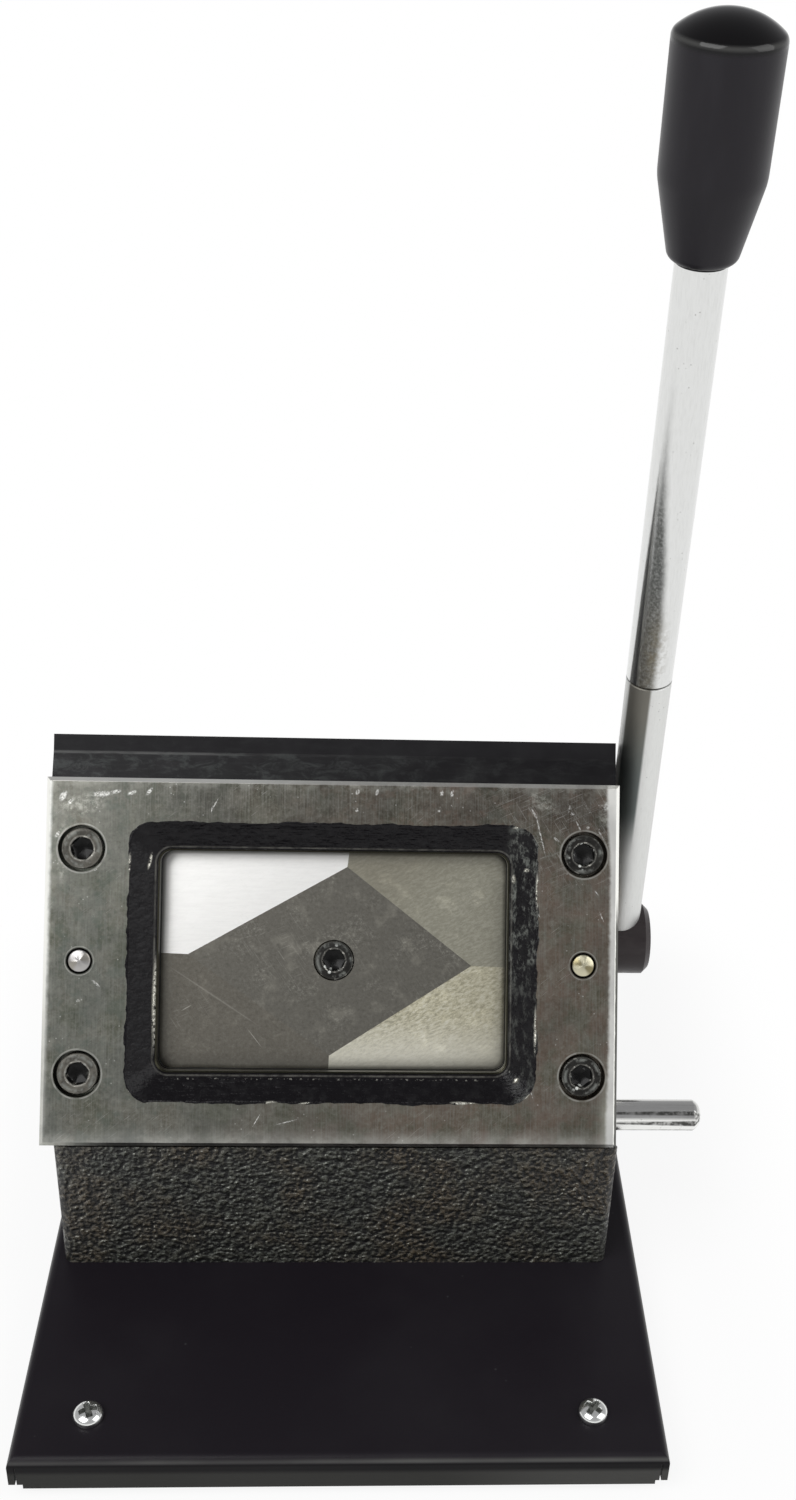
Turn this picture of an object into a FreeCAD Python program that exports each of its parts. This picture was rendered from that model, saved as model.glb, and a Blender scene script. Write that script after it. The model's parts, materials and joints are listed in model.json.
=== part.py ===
import FreeCAD, Part
import math
import os
import re

import Sketcher
from FreeCAD import Placement, Rotation, Vector

# Hand press that cuts credit-card blanks out of plastic sheet.
# Millimetres. +Z is up, the front faces -Y, and the origin is on the table top,
# in the middle of the rectangle that the whole machine covers.

SIZES = [
    # Folded sheet metal tray.
    ("tray_width", 150.5),
    ("tray_tail", 23.1),
    ("tray_height", 12),
    ("sheet_gauge", 1.5),
    ("flange_drop", 9.2),
    ("bend_radius", 2.2),
    ("corner_slit", 0.4),
    ("side_flange_lift", 1.3),
    ("foot_inset_side", 16.7),
    ("foot_inset_end", 12.2),
    ("foot_diameter", 18),
    ("foot_edge", 1),
    ("foot_recess", 6),
    # Tray screws and their nuts.
    ("tray_thread", 4),
    ("tray_thread_clearance", 0.3),
    ("pan_diameter", 7.2),
    ("pan_height", 2.6),
    ("pan_rim", 0.7),
    ("cross_width", 0.9),
    ("cross_length", 4),
    ("cross_depth", 1.3),
    ("nut_across_flats", 7),
    ("nut_thickness", 3.2),
    ("nut_room", 0.6),
    # Cast body and the bolts that hold it down.
    ("body_width", 138.4),
    ("body_depth", 122),
    ("apron", 58.9),
    ("body_offset", -2.3),
    ("face_tilt", 32.9),
    ("face_rise", 98.4),
    ("back_run", 9.5),
    ("casting_radius", 2.4),
    ("crown_radius", 8),
    ("bolt_diameter", 8),
    ("bolt_across_flats", 13),
    ("bolt_head_height", 5.3),
    ("bolt_washer_diameter", 16),
    ("bolt_washer_thickness", 1.6),
    ("bolt_pitch_x", 96),
    ("bolt_inset", 18),
    ("bolt_inset_back", 24),
    ("bolt_reach", 8),
    # Plates of the die set, stacked on the leaning face.
    ("plate_width", 140.5),
    ("plate_height", 89.3),
    ("plate_thickness", 8),
    ("plate_sill", 40.5),
    ("plate_overhang", 1),
    ("plate_edge", 0.9),
    ("die_offset", -1.9),
    ("ledge_gap", 0.4),
    ("sheet_slot", 1.5),
    ("slot_width", 108),
    ("guide_width", 141.5),
    ("guide_rise", 11.1),
    ("guide_thickness", 10),
    ("lead_in_length", 8),
    ("lead_in_depth", 1.6),
    ("lead_in_land", 4.1),
    # The card, and the window and punch that cut it.
    ("card_width", 86),
    ("card_height", 54),
    ("card_corner", 3),
    ("die_clearance", 0.06),
    ("die_land", 3),
    ("relief_width", 6.8),
    ("relief_corner", 6),
    ("shear_drop", 1.2),
    ("punch_setback", 0.5),
    ("punch_length", 22),
    ("ram_length", 49),
    ("ram_clearance", 0.35),
    ("ram_end_gap", 2),
    # Screws and dowels of the die set.
    ("screw_pitch_x", 123),
    ("screw_pitch_y", 54.6),
    ("screw_thread", 6),
    ("screw_head", 10),
    ("screw_head_height", 6),
    ("screw_length", 25),
    ("screw_sink", 0.4),
    ("screw_hole_clearance", 0.6),
    ("screw_head_clearance", 1.4),
    ("screw_edge", 0.5),
    ("socket_across_flats", 5),
    ("socket_depth", 3),
    ("thread_gap", 0.05),
    ("hole_overrun", 0.5),
    ("dowel_diameter", 6),
    ("dowel_length", 32),
    # Shaft, its bushes and what keeps it in place.
    ("shaft_rise", 3.5),
    ("shaft_setback", 62),
    ("punch_travel", 7),
    ("eccentric_diameter", 18),
    ("slot_play", 0.3),
    ("slot_end_play", 0.6),
    ("journal_right", 30),
    ("journal_left", 16),
    ("hub_diameter", 20),
    ("hub_reach", 16.5),
    ("hub_edge", 1.6),
    ("bush_wall_right", 4),
    ("bush_wall_left", 3),
    ("bush_setback", 0.8),
    ("running_clearance", 0.05),
    ("shaft_float", 0.3),
    ("washer_thickness", 1.5),
    ("washer_room", 0.5),
    ("ring_thickness", 1),
    ("ring_wall", 2.6),
    ("ring_depth", 0.6),
    ("ring_gap", 5),
    ("end_recess_depth", 7.5),
    ("end_recess_diameter", 31),
    ("shaft_end_setback", 1.5),
    # Lever.
    ("lever_lean", 8.05),
    ("lever_toe_in", 6.7),
    ("lever_inset", 8.4),
    ("rod_diameter", 11.5),
    ("rod_sink", 5),
    ("rod_end_gap", 0.1),
    ("rod_joint", 90.7),
    ("rod_reach", 197.9),
    ("rod_edge", 0.4),
    ("stud_diameter", 8),
    ("stud_length", 28),
    ("spigot_length", 28),
    ("insert_diameter", 10.5),
    ("insert_length", 26),
    ("insert_sink", 0.5),
    ("grip_length", 49.7),
    ("grip_diameter", 23),
    # Stop pin.
    ("pin_diameter", 8),
    ("pin_reach", 24.9),
    ("pin_sink", 16),
    ("pin_height", 29.8),
    ("pin_wall", 2.4),
    ("pin_dome", 2),
    ("stop_gap", 0.1),
]

# Places that several pieces share, worked out from the sizes. They are the tray's depth, which the
# casting's depth sets, then the origins of the tray, the body, the die set, the shaft and the lever,
# then depths behind the die plate's front face, and then the eccentric and the stop pin. The casting's
# top starts at crest_y, and the lever's lean as seen from the side is lean_ahead.
PLACES = [
    ("tray_depth", "apron + body_depth + tray_tail"),
    ("bolt_pitch_y", "body_depth - bolt_inset - bolt_inset_back"),
    ("half_plate", "plate_height / 2"),
    ("tray_x", "(tray_width / 2 - body_offset - body_width / 2 - pin_reach) / 2"),
    ("body_x", "tray_x + body_offset"),
    ("die_x", "body_x + die_offset"),
    ("front_y", "apron - tray_depth / 2"),
    ("die_y", "front_y - plate_overhang + half_plate * sin(face_tilt * 1deg)"),
    ("die_z", "tray_height + plate_sill + half_plate * cos(face_tilt * 1deg)"),
    ("shaft_y", "die_y + shaft_rise * sin(face_tilt * 1deg) + shaft_setback * cos(face_tilt * 1deg)"),
    ("shaft_z", "die_z + shaft_rise * cos(face_tilt * 1deg) - shaft_setback * sin(face_tilt * 1deg)"),
    ("body_right", "body_width / 2 - die_offset"),
    ("body_left", "0 - body_width / 2 - die_offset"),
    ("lever_x", "body_x + body_width / 2 + hub_reach - lever_inset"),
    ("guide_front", "plate_thickness + sheet_slot"),
    ("face_depth", "guide_front + guide_thickness"),
    ("crest_y", "die_y + (face_rise - half_plate) * sin(face_tilt * 1deg) + face_depth * cos(face_tilt * 1deg)"),
    ("top_run", "(body_depth - back_run - crest_y + front_y) / cos(face_tilt * 1deg)"),
    ("punch_front", "guide_front + punch_setback"),
    ("ram_front", "punch_front + punch_length"),
    ("ram_back", "ram_front + ram_length"),
    ("hole_width", "card_width + 2 * die_clearance"),
    ("hole_height", "card_height + 2 * die_clearance"),
    ("cheek_right", "card_width / 2 + ram_clearance + shaft_float"),
    ("cheek_left", "card_width / 2 + ram_clearance - shaft_float"),
    ("bore_right", "journal_right + 2 * running_clearance + 2 * bush_wall_right"),
    ("bore_left", "journal_left + 2 * running_clearance + 2 * bush_wall_left"),
    ("ring_place", "body_left + end_recess_depth - washer_thickness - shaft_float - ring_thickness"),
    ("pin_depth", "face_depth + pin_wall + pin_diameter / 2"),
    ("pin_z", "tray_height + pin_height"),
    ("pin_rise", "(pin_z - die_z + pin_depth * sin(face_tilt * 1deg)) / cos(face_tilt * 1deg)"),
    ("pin_y", "die_y + pin_rise * sin(face_tilt * 1deg) + pin_depth * cos(face_tilt * 1deg)"),
    ("pin_ahead", "shaft_y - pin_y"),
    ("pin_below", "shaft_z - pin_z"),
    ("pin_space", "(rod_diameter + pin_diameter) / 2 + stop_gap"),
    ("dip", "(atan(pin_below / pin_ahead) - asin(pin_space / sqrt(pin_ahead ^ 2 + pin_below ^ 2))) / 1deg"),
    ("lean_ahead", "atan(tan(lever_lean * 1deg) * cos(lever_toe_in * 1deg)) / 1deg"),
    ("swing", "90 - lean_ahead + dip"),
    ("throw", "punch_travel / 2 / sin(swing * 0.5deg)"),
    ("crank_rise", "throw * cos(swing * 0.5deg)"),
    ("crank_back", "punch_travel / 2"),
]

# Moulded grip from its neck to its crown: heights as shares of its length, radii as shares of its
# greatest radius. A row of four starts an arc and then gives a spot that the arc passes through.
GRIP_SHARES = [
    (0.000, 0.510, 0.014, 0.624),
    (0.038, 0.680),
    (0.354, 0.988),
    (0.889, 1.000, 0.906, 0.982),
    (0.920, 0.934, 0.980, 0.494),
    (1.000, 0.100),
]
# Rounded top of a pan head screw and rounded end of the stop pin: a spot on the round as shares of the
# radius and of the rise, and the radius of the small flat in the middle.
DOME_SHARES = (0.76, 0.66)
DOME_FLAT_SHARE = 0.2
# Corners of the flat facet on the punch, as shares of the card's half width and half height.
FACET_SHARES = [
    (-0.845, 0.045),
    (0.070, 0.867),
    (0.803, -0.040),
    (-0.020, -0.880),
]
# How close two numbers lie that count as equal where edges are picked.
SAME = 1e-6

doc = FreeCAD.newDocument("card_cutter")
sheet = doc.addObject("Spreadsheet::Sheet", "Sizes")
for row, (alias, number) in enumerate(SIZES, start=1):
    sheet.set("A%d" % row, alias.replace("_", " "))
    sheet.set("B%d" % row, str(number))
    sheet.setAlias("B%d" % row, alias)
doc.recompute()

HOMES = {alias: "Sizes." for alias, number in SIZES}
HOMES.update({place_name: "Places." for place_name, text in PLACES})


def named(text):
    """Puts its home before each size or place that an expression names."""
    return re.sub(r"[a-z_]+", lambda word: HOMES.get(word[0], "") + word[0], text)


places = doc.addObject("App::VarSet", "Places")
for place_name, text in PLACES:
    places.addProperty("App::PropertyFloat", place_name)
    places.setExpression(place_name, named(text))
doc.recompute()


def size(text):
    """Value of an expression in the named sizes and places."""
    value = sheet.evalExpression(named(text))
    return float(getattr(value, "Value", value))


def tie(owner, prop, text):
    owner.setExpression(prop, named(text))


ALONG_X = ("1", "0", "0")
ALONG_Y = ("0", "1", "0")


def turn_by(owner, prop, turn, axis):
    """Turns a placement by an angle in degrees about an axis of three expressions, all tied to the sizes."""
    direction = Vector(*[size(text) for text in axis])
    setattr(owner, prop, Placement(Vector(0, 0, 0), Rotation(direction, size(turn))))
    tie(owner, prop + ".Rotation.Angle", turn)
    for letter, text in zip("xyz", axis):
        if text not in ("0", "1"):
            tie(owner, prop + ".Rotation.Axis." + letter, text)


def place(piece, x, y, z, turn=None, axis=ALONG_X):
    """Puts a piece at a point, turned by an angle in degrees about one axis, all tied to the sizes."""
    if turn is not None:
        turn_by(piece, "Placement", turn, axis)
    for letter, text in zip("xyz", (x, y, z)):
        tie(piece, "Placement.Base." + letter, text)
    return piece


def in_die_frame(piece):
    """Local X runs across the plates, Y up along them, and Z out of their front face."""
    return place(piece, "die_x", "die_y", "die_z", "90 - face_tilt")


def on_shaft(piece):
    """Local Z runs along the shaft to the right from the die set's middle, and local X points down."""
    return place(piece, "die_x", "shaft_y", "shaft_z", "90", ALONG_Y)


def on_lever(piece):
    """Local Z runs up the rod from the shaft's axis, leaning ahead and a little in over the body."""
    axis = ("cos(lever_toe_in * 1deg)", "0 - sin(lever_toe_in * 1deg)", "0")
    return place(piece, "lever_x", "shaft_y", "shaft_z", "lever_lean", axis)


def new_body(label):
    body = doc.addObject("PartDesign::Body", label)
    body.Label = label
    return body


class Outline:
    """A sketch on one of a body's own planes, with every point tied to the sizes."""

    def __init__(self, body, name, role="XY_Plane", height="0"):
        self.sketch = body.newObject("Sketcher::SketchObject", name)
        plane = next(f for f in body.Origin.OriginFeatures if f.Role == role)
        self.sketch.AttachmentSupport = [(plane, "")]
        self.sketch.MapMode = "FlatFace"
        if height != "0":
            tie(self.sketch, "AttachmentOffset.Base.z", height)

    def turned(self, axis, turn, base):
        """Turns the sketch about an axis of its plane and moves it, all tied to the sizes."""
        turn_by(self.sketch, "AttachmentOffset", turn, axis)
        for letter, text in zip("xyz", base):
            tie(self.sketch, "AttachmentOffset.Base." + letter, text)
        return self

    def bind(self, kind, *where):
        """Adds a dimension whose value is the expression that comes last."""
        *where, text = where
        index = self.sketch.addConstraint(Sketcher.Constraint(kind, *where, size(text)))
        tie(self.sketch, "Constraints[%d]" % index, text)

    def join(self, kind, *where):
        self.sketch.addConstraint(Sketcher.Constraint(kind, *where))

    def pin(self, shape, point, x, y):
        """Ties one point of a shape to a spot."""
        for text, kind, line in ((x, "DistanceX", -2), (y, "DistanceY", -1)):
            if text == "0":
                self.join("PointOnObject", shape, point, line)
            else:
                self.bind(kind, shape, point, text)

    def loop(self, points):
        """Closed loop through points given as pairs of expressions.

        A row of four starts an arc, which passes through the spot that its last two give.
        """
        spots = [Vector(size(row[0]), size(row[1]), 0) for row in points]
        edges = []
        for start, end, row in zip(spots, spots[1:] + spots[:1], points):
            if len(row) == 4:
                shape = Part.Arc(start, Vector(size(row[2]), size(row[3]), 0), end)
            else:
                shape = Part.LineSegment(start, end)
            edge = self.sketch.addGeometry(shape)
            swapped = self.sketch.getPoint(edge, 1).distanceToPoint(start) > SAME
            edges.append((edge, 2 if swapped else 1, 1 if swapped else 2))
        for step, (row, (edge, start, end)) in enumerate(zip(points, edges)):
            before, _, before_end = edges[step - 1]
            self.join("Coincident", before, before_end, edge, start)
            self.pin(edge, start, row[0], row[1])
        for row, (edge, _, _) in zip(points, edges):
            if len(row) == 4:
                spot = Part.Point(Vector(size(row[2]), size(row[3]), 0))
                via = self.sketch.addGeometry(spot, True)
                self.pin(via, 1, row[2], row[3])
                self.join("PointOnObject", via, 1, edge)
        return self

    def rectangle(self, width, height, x="0", y="0"):
        """Rectangle about a point."""
        left, right = f"{x} - {width} / 2", f"{x} + {width} / 2"
        low, high = f"{y} - {height} / 2", f"{y} + {height} / 2"
        return self.loop([(left, low), (right, low), (right, high), (left, high)])

    def circle(self, diameter, x="0", y="0"):
        centre = Vector(size(x), size(y), 0)
        ring = self.sketch.addGeometry(Part.Circle(centre, Vector(0, 0, 1), size(diameter) / 2))
        self.bind("Diameter", ring, diameter)
        if x == "0" and y == "0":
            self.join("Coincident", ring, 3, -1, 1)
        else:
            self.pin(ring, 3, x, y)
        return self

    def hexagon(self, across_flats):
        """Regular hexagon about the origin with two corners on X."""
        corner = f"({across_flats}) / 2 / cos(30deg)"
        half = f"({across_flats}) / 4 / cos(30deg)"
        flat = f"({across_flats}) / 2"
        return self.loop([
            (corner, "0"),
            (half, flat),
            ("0 - " + half, flat),
            ("0 - " + corner, "0"),
            ("0 - " + half, "0 - " + flat),
            (half, "0 - " + flat),
        ])

    def soft_rectangle(self, width, height, radius):
        """Rectangle about the origin with round corners."""
        half_x, half_y, r = size(width) / 2, size(height) / 2, size(radius)
        corners = [(-1, -1), (1, -1), (1, 1), (-1, 1)]
        lines, arcs = [], []
        for step, (sx, sy) in enumerate(corners):
            tx, ty = corners[(step + 1) % 4]
            along = Vector(tx - sx, ty - sy, 0).normalize() * r
            start = Vector(sx * half_x, sy * half_y, 0) + along
            end = Vector(tx * half_x, ty * half_y, 0) - along
            lines.append(self.sketch.addGeometry(Part.LineSegment(start, end)))
            middle = Vector(tx * (half_x - r), ty * (half_y - r), 0)
            turn = math.radians(90 * (step - 1))
            ring = Part.Circle(middle, Vector(0, 0, 1), r)
            arcs.append(self.sketch.addGeometry(Part.ArcOfCircle(ring, turn, turn + math.pi / 2)))
        for step in range(4):
            self.join("Tangent", lines[step], 2, arcs[step], 1)
            self.join("Tangent", arcs[step], 2, lines[(step + 1) % 4], 1)
            self.join("Vertical" if step % 2 else "Horizontal", lines[step])
            if step:
                self.join("Equal", arcs[0], arcs[step])
        self.bind("Radius", arcs[0], radius)
        self.bind("DistanceY", lines[0], 1, f"0 - ({height}) / 2")
        self.bind("DistanceX", lines[1], 1, f"({width}) / 2")
        self.bind("DistanceY", lines[2], 1, f"({height}) / 2")
        self.bind("DistanceX", lines[3], 1, f"0 - ({width}) / 2")
        return self


def extrude(kind, body, outline, length, both_ways, reverse, name):
    feature = body.newObject(kind, name)
    feature.Profile = outline.sketch
    feature.SideType = "Symmetric" if both_ways else "One side"
    feature.Reversed = reverse
    tie(feature, "Length", length)
    doc.recompute()
    return feature


def pad(body, outline, length, both_ways=False, reverse=False, name="pad"):
    return extrude("PartDesign::Pad", body, outline, length, both_ways, reverse, name)


def cut(body, outline, length, both_ways=False, reverse=False, name="pocket"):
    """Cuts a pocket against the sketch's normal, or along it in reverse, and checks that it cut."""
    before = body.Shape.Volume
    feature = extrude("PartDesign::Pocket", body, outline, length, both_ways, reverse, name)
    if not body.Shape.Volume < before:
        raise RuntimeError("%s in %s cuts nothing" % (name, body.Label))
    return feature


def turn_about(body, outline, name="turned"):
    """Solid of revolution of an outline about its sketch's vertical axis."""
    feature = body.newObject("PartDesign::Revolution", name)
    feature.Profile = outline.sketch
    feature.ReferenceAxis = (outline.sketch, ["V_Axis"])
    feature.Angle = 360
    doc.recompute()
    return feature


def soften(body, wanted, amount, kind="PartDesign::Fillet", name="soft_edge"):
    """Rounds or chamfers the edges of a body that a test picks."""
    base = body.Tip
    edges = ["Edge%d" % n for n, edge in enumerate(base.Shape.Edges, start=1) if wanted(edge)]
    feature = body.newObject(kind, name)
    feature.Base = (base, edges)
    tie(feature, "Radius" if kind.endswith("Fillet") else "Size", amount)
    doc.recompute()
    return feature


def straight_along(edge, axis):
    return isinstance(edge.Curve, Part.Line) and edge.Curve.Direction.cross(axis).Length < SAME


def level_at(edge, height):
    """True for an edge that lies in the plane at one height of its body."""
    return abs(edge.BoundBox.ZMin - height) < SAME and abs(edge.BoundBox.ZMax - height) < SAME


def group_of(label, members):
    """One node made of several equal pieces that stay separate solids."""
    group = doc.addObject("Part::Compound", label)
    group.Label = label
    group.Links = members
    doc.recompute()
    return group


def four(x, y):
    """The four corners of a rectangle about a point, as pairs of expressions."""
    return [(f"{sx}{x}", f"{sy}{y}") for sx in ("0 - ", "0 + ") for sy in ("0 - ", "0 + ")]


# Tray and what stands under it.

TRAY_SPOTS = four("(tray_width / 2 - foot_inset_side)", "(tray_depth / 2 - foot_inset_end)")
BOLT_SPOTS = four("bolt_pitch_x / 2", "bolt_pitch_y / 2")
BOLT_MIDDLE = "front_y + bolt_inset + bolt_pitch_y / 2"


def base_tray():
    """Folded shell: outer block, hollow from below, both with bend radii, slits beside the end flanges."""
    body = new_body("base_tray")
    pad(body, Outline(body, "blank").rectangle("tray_width", "tray_depth"), "flange_drop", reverse=True, name="block")
    soften(body, lambda e: level_at(e, 0), "bend_radius", name="outer_bend")
    inside = Outline(body, "inside", height="0 - flange_drop")
    inside.rectangle("(tray_width - 2 * sheet_gauge)", "(tray_depth - 2 * sheet_gauge)")
    cut(body, inside, "flange_drop - sheet_gauge", reverse=True, name="hollow")
    soften(body, lambda e: level_at(e, -size("sheet_gauge")), "bend_radius - sheet_gauge", name="inner_bend")
    slits = Outline(body, "corner_slits", height="0 - flange_drop")
    for x, y in four("(tray_width / 2 - sheet_gauge - corner_slit / 2)", "(tray_depth / 2)"):
        slits.rectangle("corner_slit", "(3 * sheet_gauge)", x, y)
    cut(body, slits, "flange_drop - bend_radius", reverse=True, name="corner_slits_cut")
    lift = Outline(body, "side_lift", height="0 - flange_drop")
    for side in ("", "0 - "):
        lift.rectangle("2 * sheet_gauge + corner_slit", "(2 * tray_depth)", f"{side}(tray_width / 2)", "0")
    cut(body, lift, "side_flange_lift", reverse=True, name="side_lift_cut")
    holes = Outline(body, "screw_holes")
    for x, y in TRAY_SPOTS:
        holes.circle("tray_thread + tray_thread_clearance", x, y)
    for x, y in BOLT_SPOTS:
        holes.circle("bolt_diameter + screw_hole_clearance", f"{x} + body_offset", f"{y} + {BOLT_MIDDLE}")
    cut(body, holes, "2 * sheet_gauge", name="screw_holes_cut")
    return place(body, "tray_x", "0", "tray_height")


def rubber_foot(number, x, y):
    """Round foot with a recess from below that takes the nut."""
    body = new_body("rubber_foot_%d" % number)
    hole = "(tray_thread + tray_thread_clearance) / 2"
    recess = "nut_across_flats / 2 / cos(30deg) + nut_room / 2"
    outline = Outline(body, "profile", "XZ_Plane").loop([
        (hole, "foot_recess"),
        (recess, "foot_recess"),
        (recess, "0"),
        ("foot_diameter / 2 - foot_edge", "0"),
        ("foot_diameter / 2", "foot_edge"),
        ("foot_diameter / 2", "tray_height - sheet_gauge"),
        (hole, "tray_height - sheet_gauge"),
    ])
    turn_about(body, outline)
    return place(body, f"tray_x + {x}", y, "0")


def domed_profile(bottom, radius, shoulder, rim, top, stem):
    """Half outline of a headed pin from below: stem, head with an upright rim and a round top."""
    across, up = DOME_SHARES
    return [
        ("0", bottom),
        (stem, bottom),
        (stem, shoulder),
        (radius, shoulder),
        (radius, rim, f"{radius} * {across}", f"{rim} + ({top} - ({rim})) * {up}"),
        (f"{radius} * {DOME_FLAT_SHARE}", top),
        ("0", top),
    ]


def tray_screw(number, x, y):
    """Pan head screw with a cross recess and a shank down to the nut."""
    body = new_body("tray_screw_%d" % number)
    bottom = "foot_recess - nut_thickness - tray_height"
    points = domed_profile(bottom, "pan_diameter / 2", "0", "pan_rim", "pan_height", "tray_thread / 2")
    turn_about(body, Outline(body, "profile", "XZ_Plane").loop(points))
    for name, width, length in (("slot", "cross_width", "cross_length"), ("cross", "cross_length", "cross_width")):
        cut(body, Outline(body, name, height="pan_height").rectangle(width, length), "cross_depth", name=name + "_cut")
    return place(body, f"tray_x + {x}", y, "tray_height")


def tray_nut(number, x, y):
    body = new_body("tray_nut_%d" % number)
    outline = Outline(body, "flats").hexagon("nut_across_flats").circle("tray_thread + 2 * thread_gap")
    pad(body, outline, "nut_thickness")
    return place(body, f"tray_x + {x}", y, "foot_recess - nut_thickness")


def body_bolt(number, x, y):
    """Hex bolt from below, its head on a washer under the tray."""
    body = new_body("body_bolt_%d" % number)
    pad(body, Outline(body, "flats").hexagon("bolt_across_flats"), "bolt_head_height", reverse=True, name="head")
    shank = Outline(body, "shank").circle("bolt_diameter")
    pad(body, shank, "bolt_washer_thickness + sheet_gauge + bolt_reach", name="shank_pad")
    return place(body, f"body_x + {x}", f"{y} + {BOLT_MIDDLE}", "tray_height - sheet_gauge - bolt_washer_thickness")


def body_washer(number, x, y):
    body = new_body("body_washer_%d" % number)
    outline = Outline(body, "ring").circle("bolt_washer_diameter").circle("bolt_diameter + screw_hole_clearance")
    pad(body, outline, "bolt_washer_thickness", reverse=True)
    return place(body, f"body_x + {x}", f"{y} + {BOLT_MIDDLE}", "tray_height - sheet_gauge")


# Cast body. Its own origin is on the tray, at the middle of its front edge.


def beside_face(rise, depth):
    """Spot in the body's side view, from steps up along the plates and behind their front face."""
    y = f"die_y - front_y + ({rise}) * sin(face_tilt * 1deg) + ({depth}) * cos(face_tilt * 1deg)"
    z = f"die_z - tray_height + ({rise}) * cos(face_tilt * 1deg) - ({depth}) * sin(face_tilt * 1deg)"
    return y, z


def face_outline(body, name, depth):
    """Sketch parallel to the plates and about their middle, some depth behind their front face."""
    base = ("die_offset", *beside_face("0", depth))
    return Outline(body, name).turned(ALONG_X, "90 - face_tilt", base)


def body_casting():
    """Block with an upright apron, a ledge under the plates, the leaning face and a top square to it."""
    body = new_body("body_casting")
    ledge = beside_face("0 - half_plate - ledge_gap", "face_depth")
    crest = beside_face("face_rise - half_plate", "face_depth")
    brow = beside_face("face_rise - half_plate", "face_depth + top_run")
    side = Outline(body, "side_view", "YZ_Plane").loop([
        ("0", "0"),
        ("0", f"{ledge[1]} + ({ledge[0]}) * tan(face_tilt * 1deg)"),
        ledge,
        crest,
        brow,
        ("body_depth", f"{brow[1]} - body_depth + ({brow[0]})"),
        ("body_depth", "0"),
    ])
    pad(body, side, "body_width", both_ways=True, name="block")
    flank = size("body_width") / 2
    crest_y, brow_y = size(crest[0]), size(brow[0])

    def crown(edge):
        box = edge.BoundBox
        return straight_along(edge, Vector(1, 0, 0)) and box.ZMin > SAME and box.YMin > brow_y - SAME

    def rounded(edge):
        box = edge.BoundBox
        on_flank = abs(box.XMin - box.XMax) < SAME and abs(abs(box.XMin) - flank) < SAME
        rim = on_flank and box.YMin > crest_y - SAME and box.ZMin > SAME
        return straight_along(edge, Vector(0, 0, 1)) or rim

    soften(body, crown, "crown_radius", name="crown")
    soften(body, rounded, "casting_radius", name="corner_radius")
    chamber = face_outline(body, "ram_chamber", "face_depth")
    chamber.soft_rectangle("card_width + 2 * ram_clearance", "card_height + 2 * ram_clearance", "card_corner")
    cut(body, chamber, "ram_back + ram_end_gap - face_depth", name="ram_chamber_cut")
    tapped = face_outline(body, "tapped_holes", "face_depth")
    for x, y in SCREW_SPOTS:
        tapped.circle("screw_thread + 2 * thread_gap", x, y)
    reach = "screw_sink + screw_head_height + screw_length"
    cut(body, tapped, f"{reach} + hole_overrun - face_depth", name="tapped_holes_cut")
    reamed = dowel_holes(face_outline(body, "dowel_holes", "face_depth"))
    cut(body, reamed, "dowel_length + hole_overrun - face_depth", name="dowel_holes_cut")
    side_bores(body)
    below = Outline(body, "bolt_holes")
    for x, y in BOLT_SPOTS:
        below.circle("bolt_diameter + 2 * thread_gap", x, f"{y} + {BOLT_MIDDLE} - front_y")
    cut(body, below, "bolt_reach + hole_overrun", reverse=True, name="bolt_holes_cut")
    return place(body, "body_x", "front_y", "tray_height")


def side_bores(body):
    """Bores for the shaft's bushes from both sides, the recess at its left end and the stop pin's hole."""
    flank = "body_width / 2"
    shaft = ("shaft_y - front_y", "shaft_z - tray_height")
    wall = f"{flank} - card_width / 2 - ram_clearance + hole_overrun"
    right = Outline(body, "right_bore", "YZ_Plane", flank).circle("bore_right", *shaft)
    cut(body, right, f"{wall} - die_offset", name="right_bore_cut")
    left = Outline(body, "left_bore", "YZ_Plane", "0 - " + flank).circle("bore_left", *shaft)
    cut(body, left, f"{wall} + die_offset", reverse=True, name="left_bore_cut")
    recess = Outline(body, "end_recess", "YZ_Plane", "0 - " + flank).circle("end_recess_diameter", *shaft)
    cut(body, recess, "end_recess_depth", reverse=True, name="end_recess_cut")
    stop = Outline(body, "pin_hole", "YZ_Plane", flank)
    stop.circle("pin_diameter", "pin_y - front_y", "pin_z - tray_height")
    cut(body, stop, "pin_sink", name="pin_hole_cut")


# Plates of the die set.

SCREW_SPOTS = four("screw_pitch_x / 2", "screw_pitch_y / 2")


def screw_holes(outline, diameter):
    for x, y in SCREW_SPOTS:
        outline.circle(diameter, x, y)
    return outline


def dowel_holes(outline):
    outline.circle("dowel_diameter", "0 - screw_pitch_x / 2", "0")
    return outline.circle("dowel_diameter", "screw_pitch_x / 2", "0")


def die_plate():
    """Ground plate with the card window: a straight cutting land behind and a wide relief bevel in front."""
    body = new_body("die_plate")
    pad(body, Outline(body, "outline").rectangle("plate_width", "plate_height"), "plate_thickness",
        reverse=True, name="plate")
    soften(body, lambda e: level_at(e, 0), "plate_edge", "PartDesign::Chamfer", "front_edge")
    window = Outline(body, "window").soft_rectangle("hole_width", "hole_height", "card_corner")
    cut(body, window, "plate_thickness", name="window_cut")
    mouth = Outline(body, "relief_mouth")
    mouth.soft_rectangle("hole_width + 2 * relief_width", "hole_height + 2 * relief_width", "relief_corner")
    throat = Outline(body, "relief_throat", height="die_land - plate_thickness")
    throat.soft_rectangle("hole_width", "hole_height", "card_corner")
    relief = body.newObject("PartDesign::SubtractiveLoft", "relief")
    relief.Profile = mouth.sketch
    relief.Sections = [throat.sketch]
    relief.Ruled = True
    doc.recompute()
    through = screw_holes(Outline(body, "screw_holes"), "screw_thread + screw_hole_clearance")
    cut(body, dowel_holes(through), "plate_thickness", name="screw_holes_cut")
    sunk = screw_holes(Outline(body, "counterbores"), "screw_head + screw_head_clearance")
    cut(body, sunk, "screw_head_height + screw_sink", name="counterbores_cut")
    return in_die_frame(body)


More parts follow.
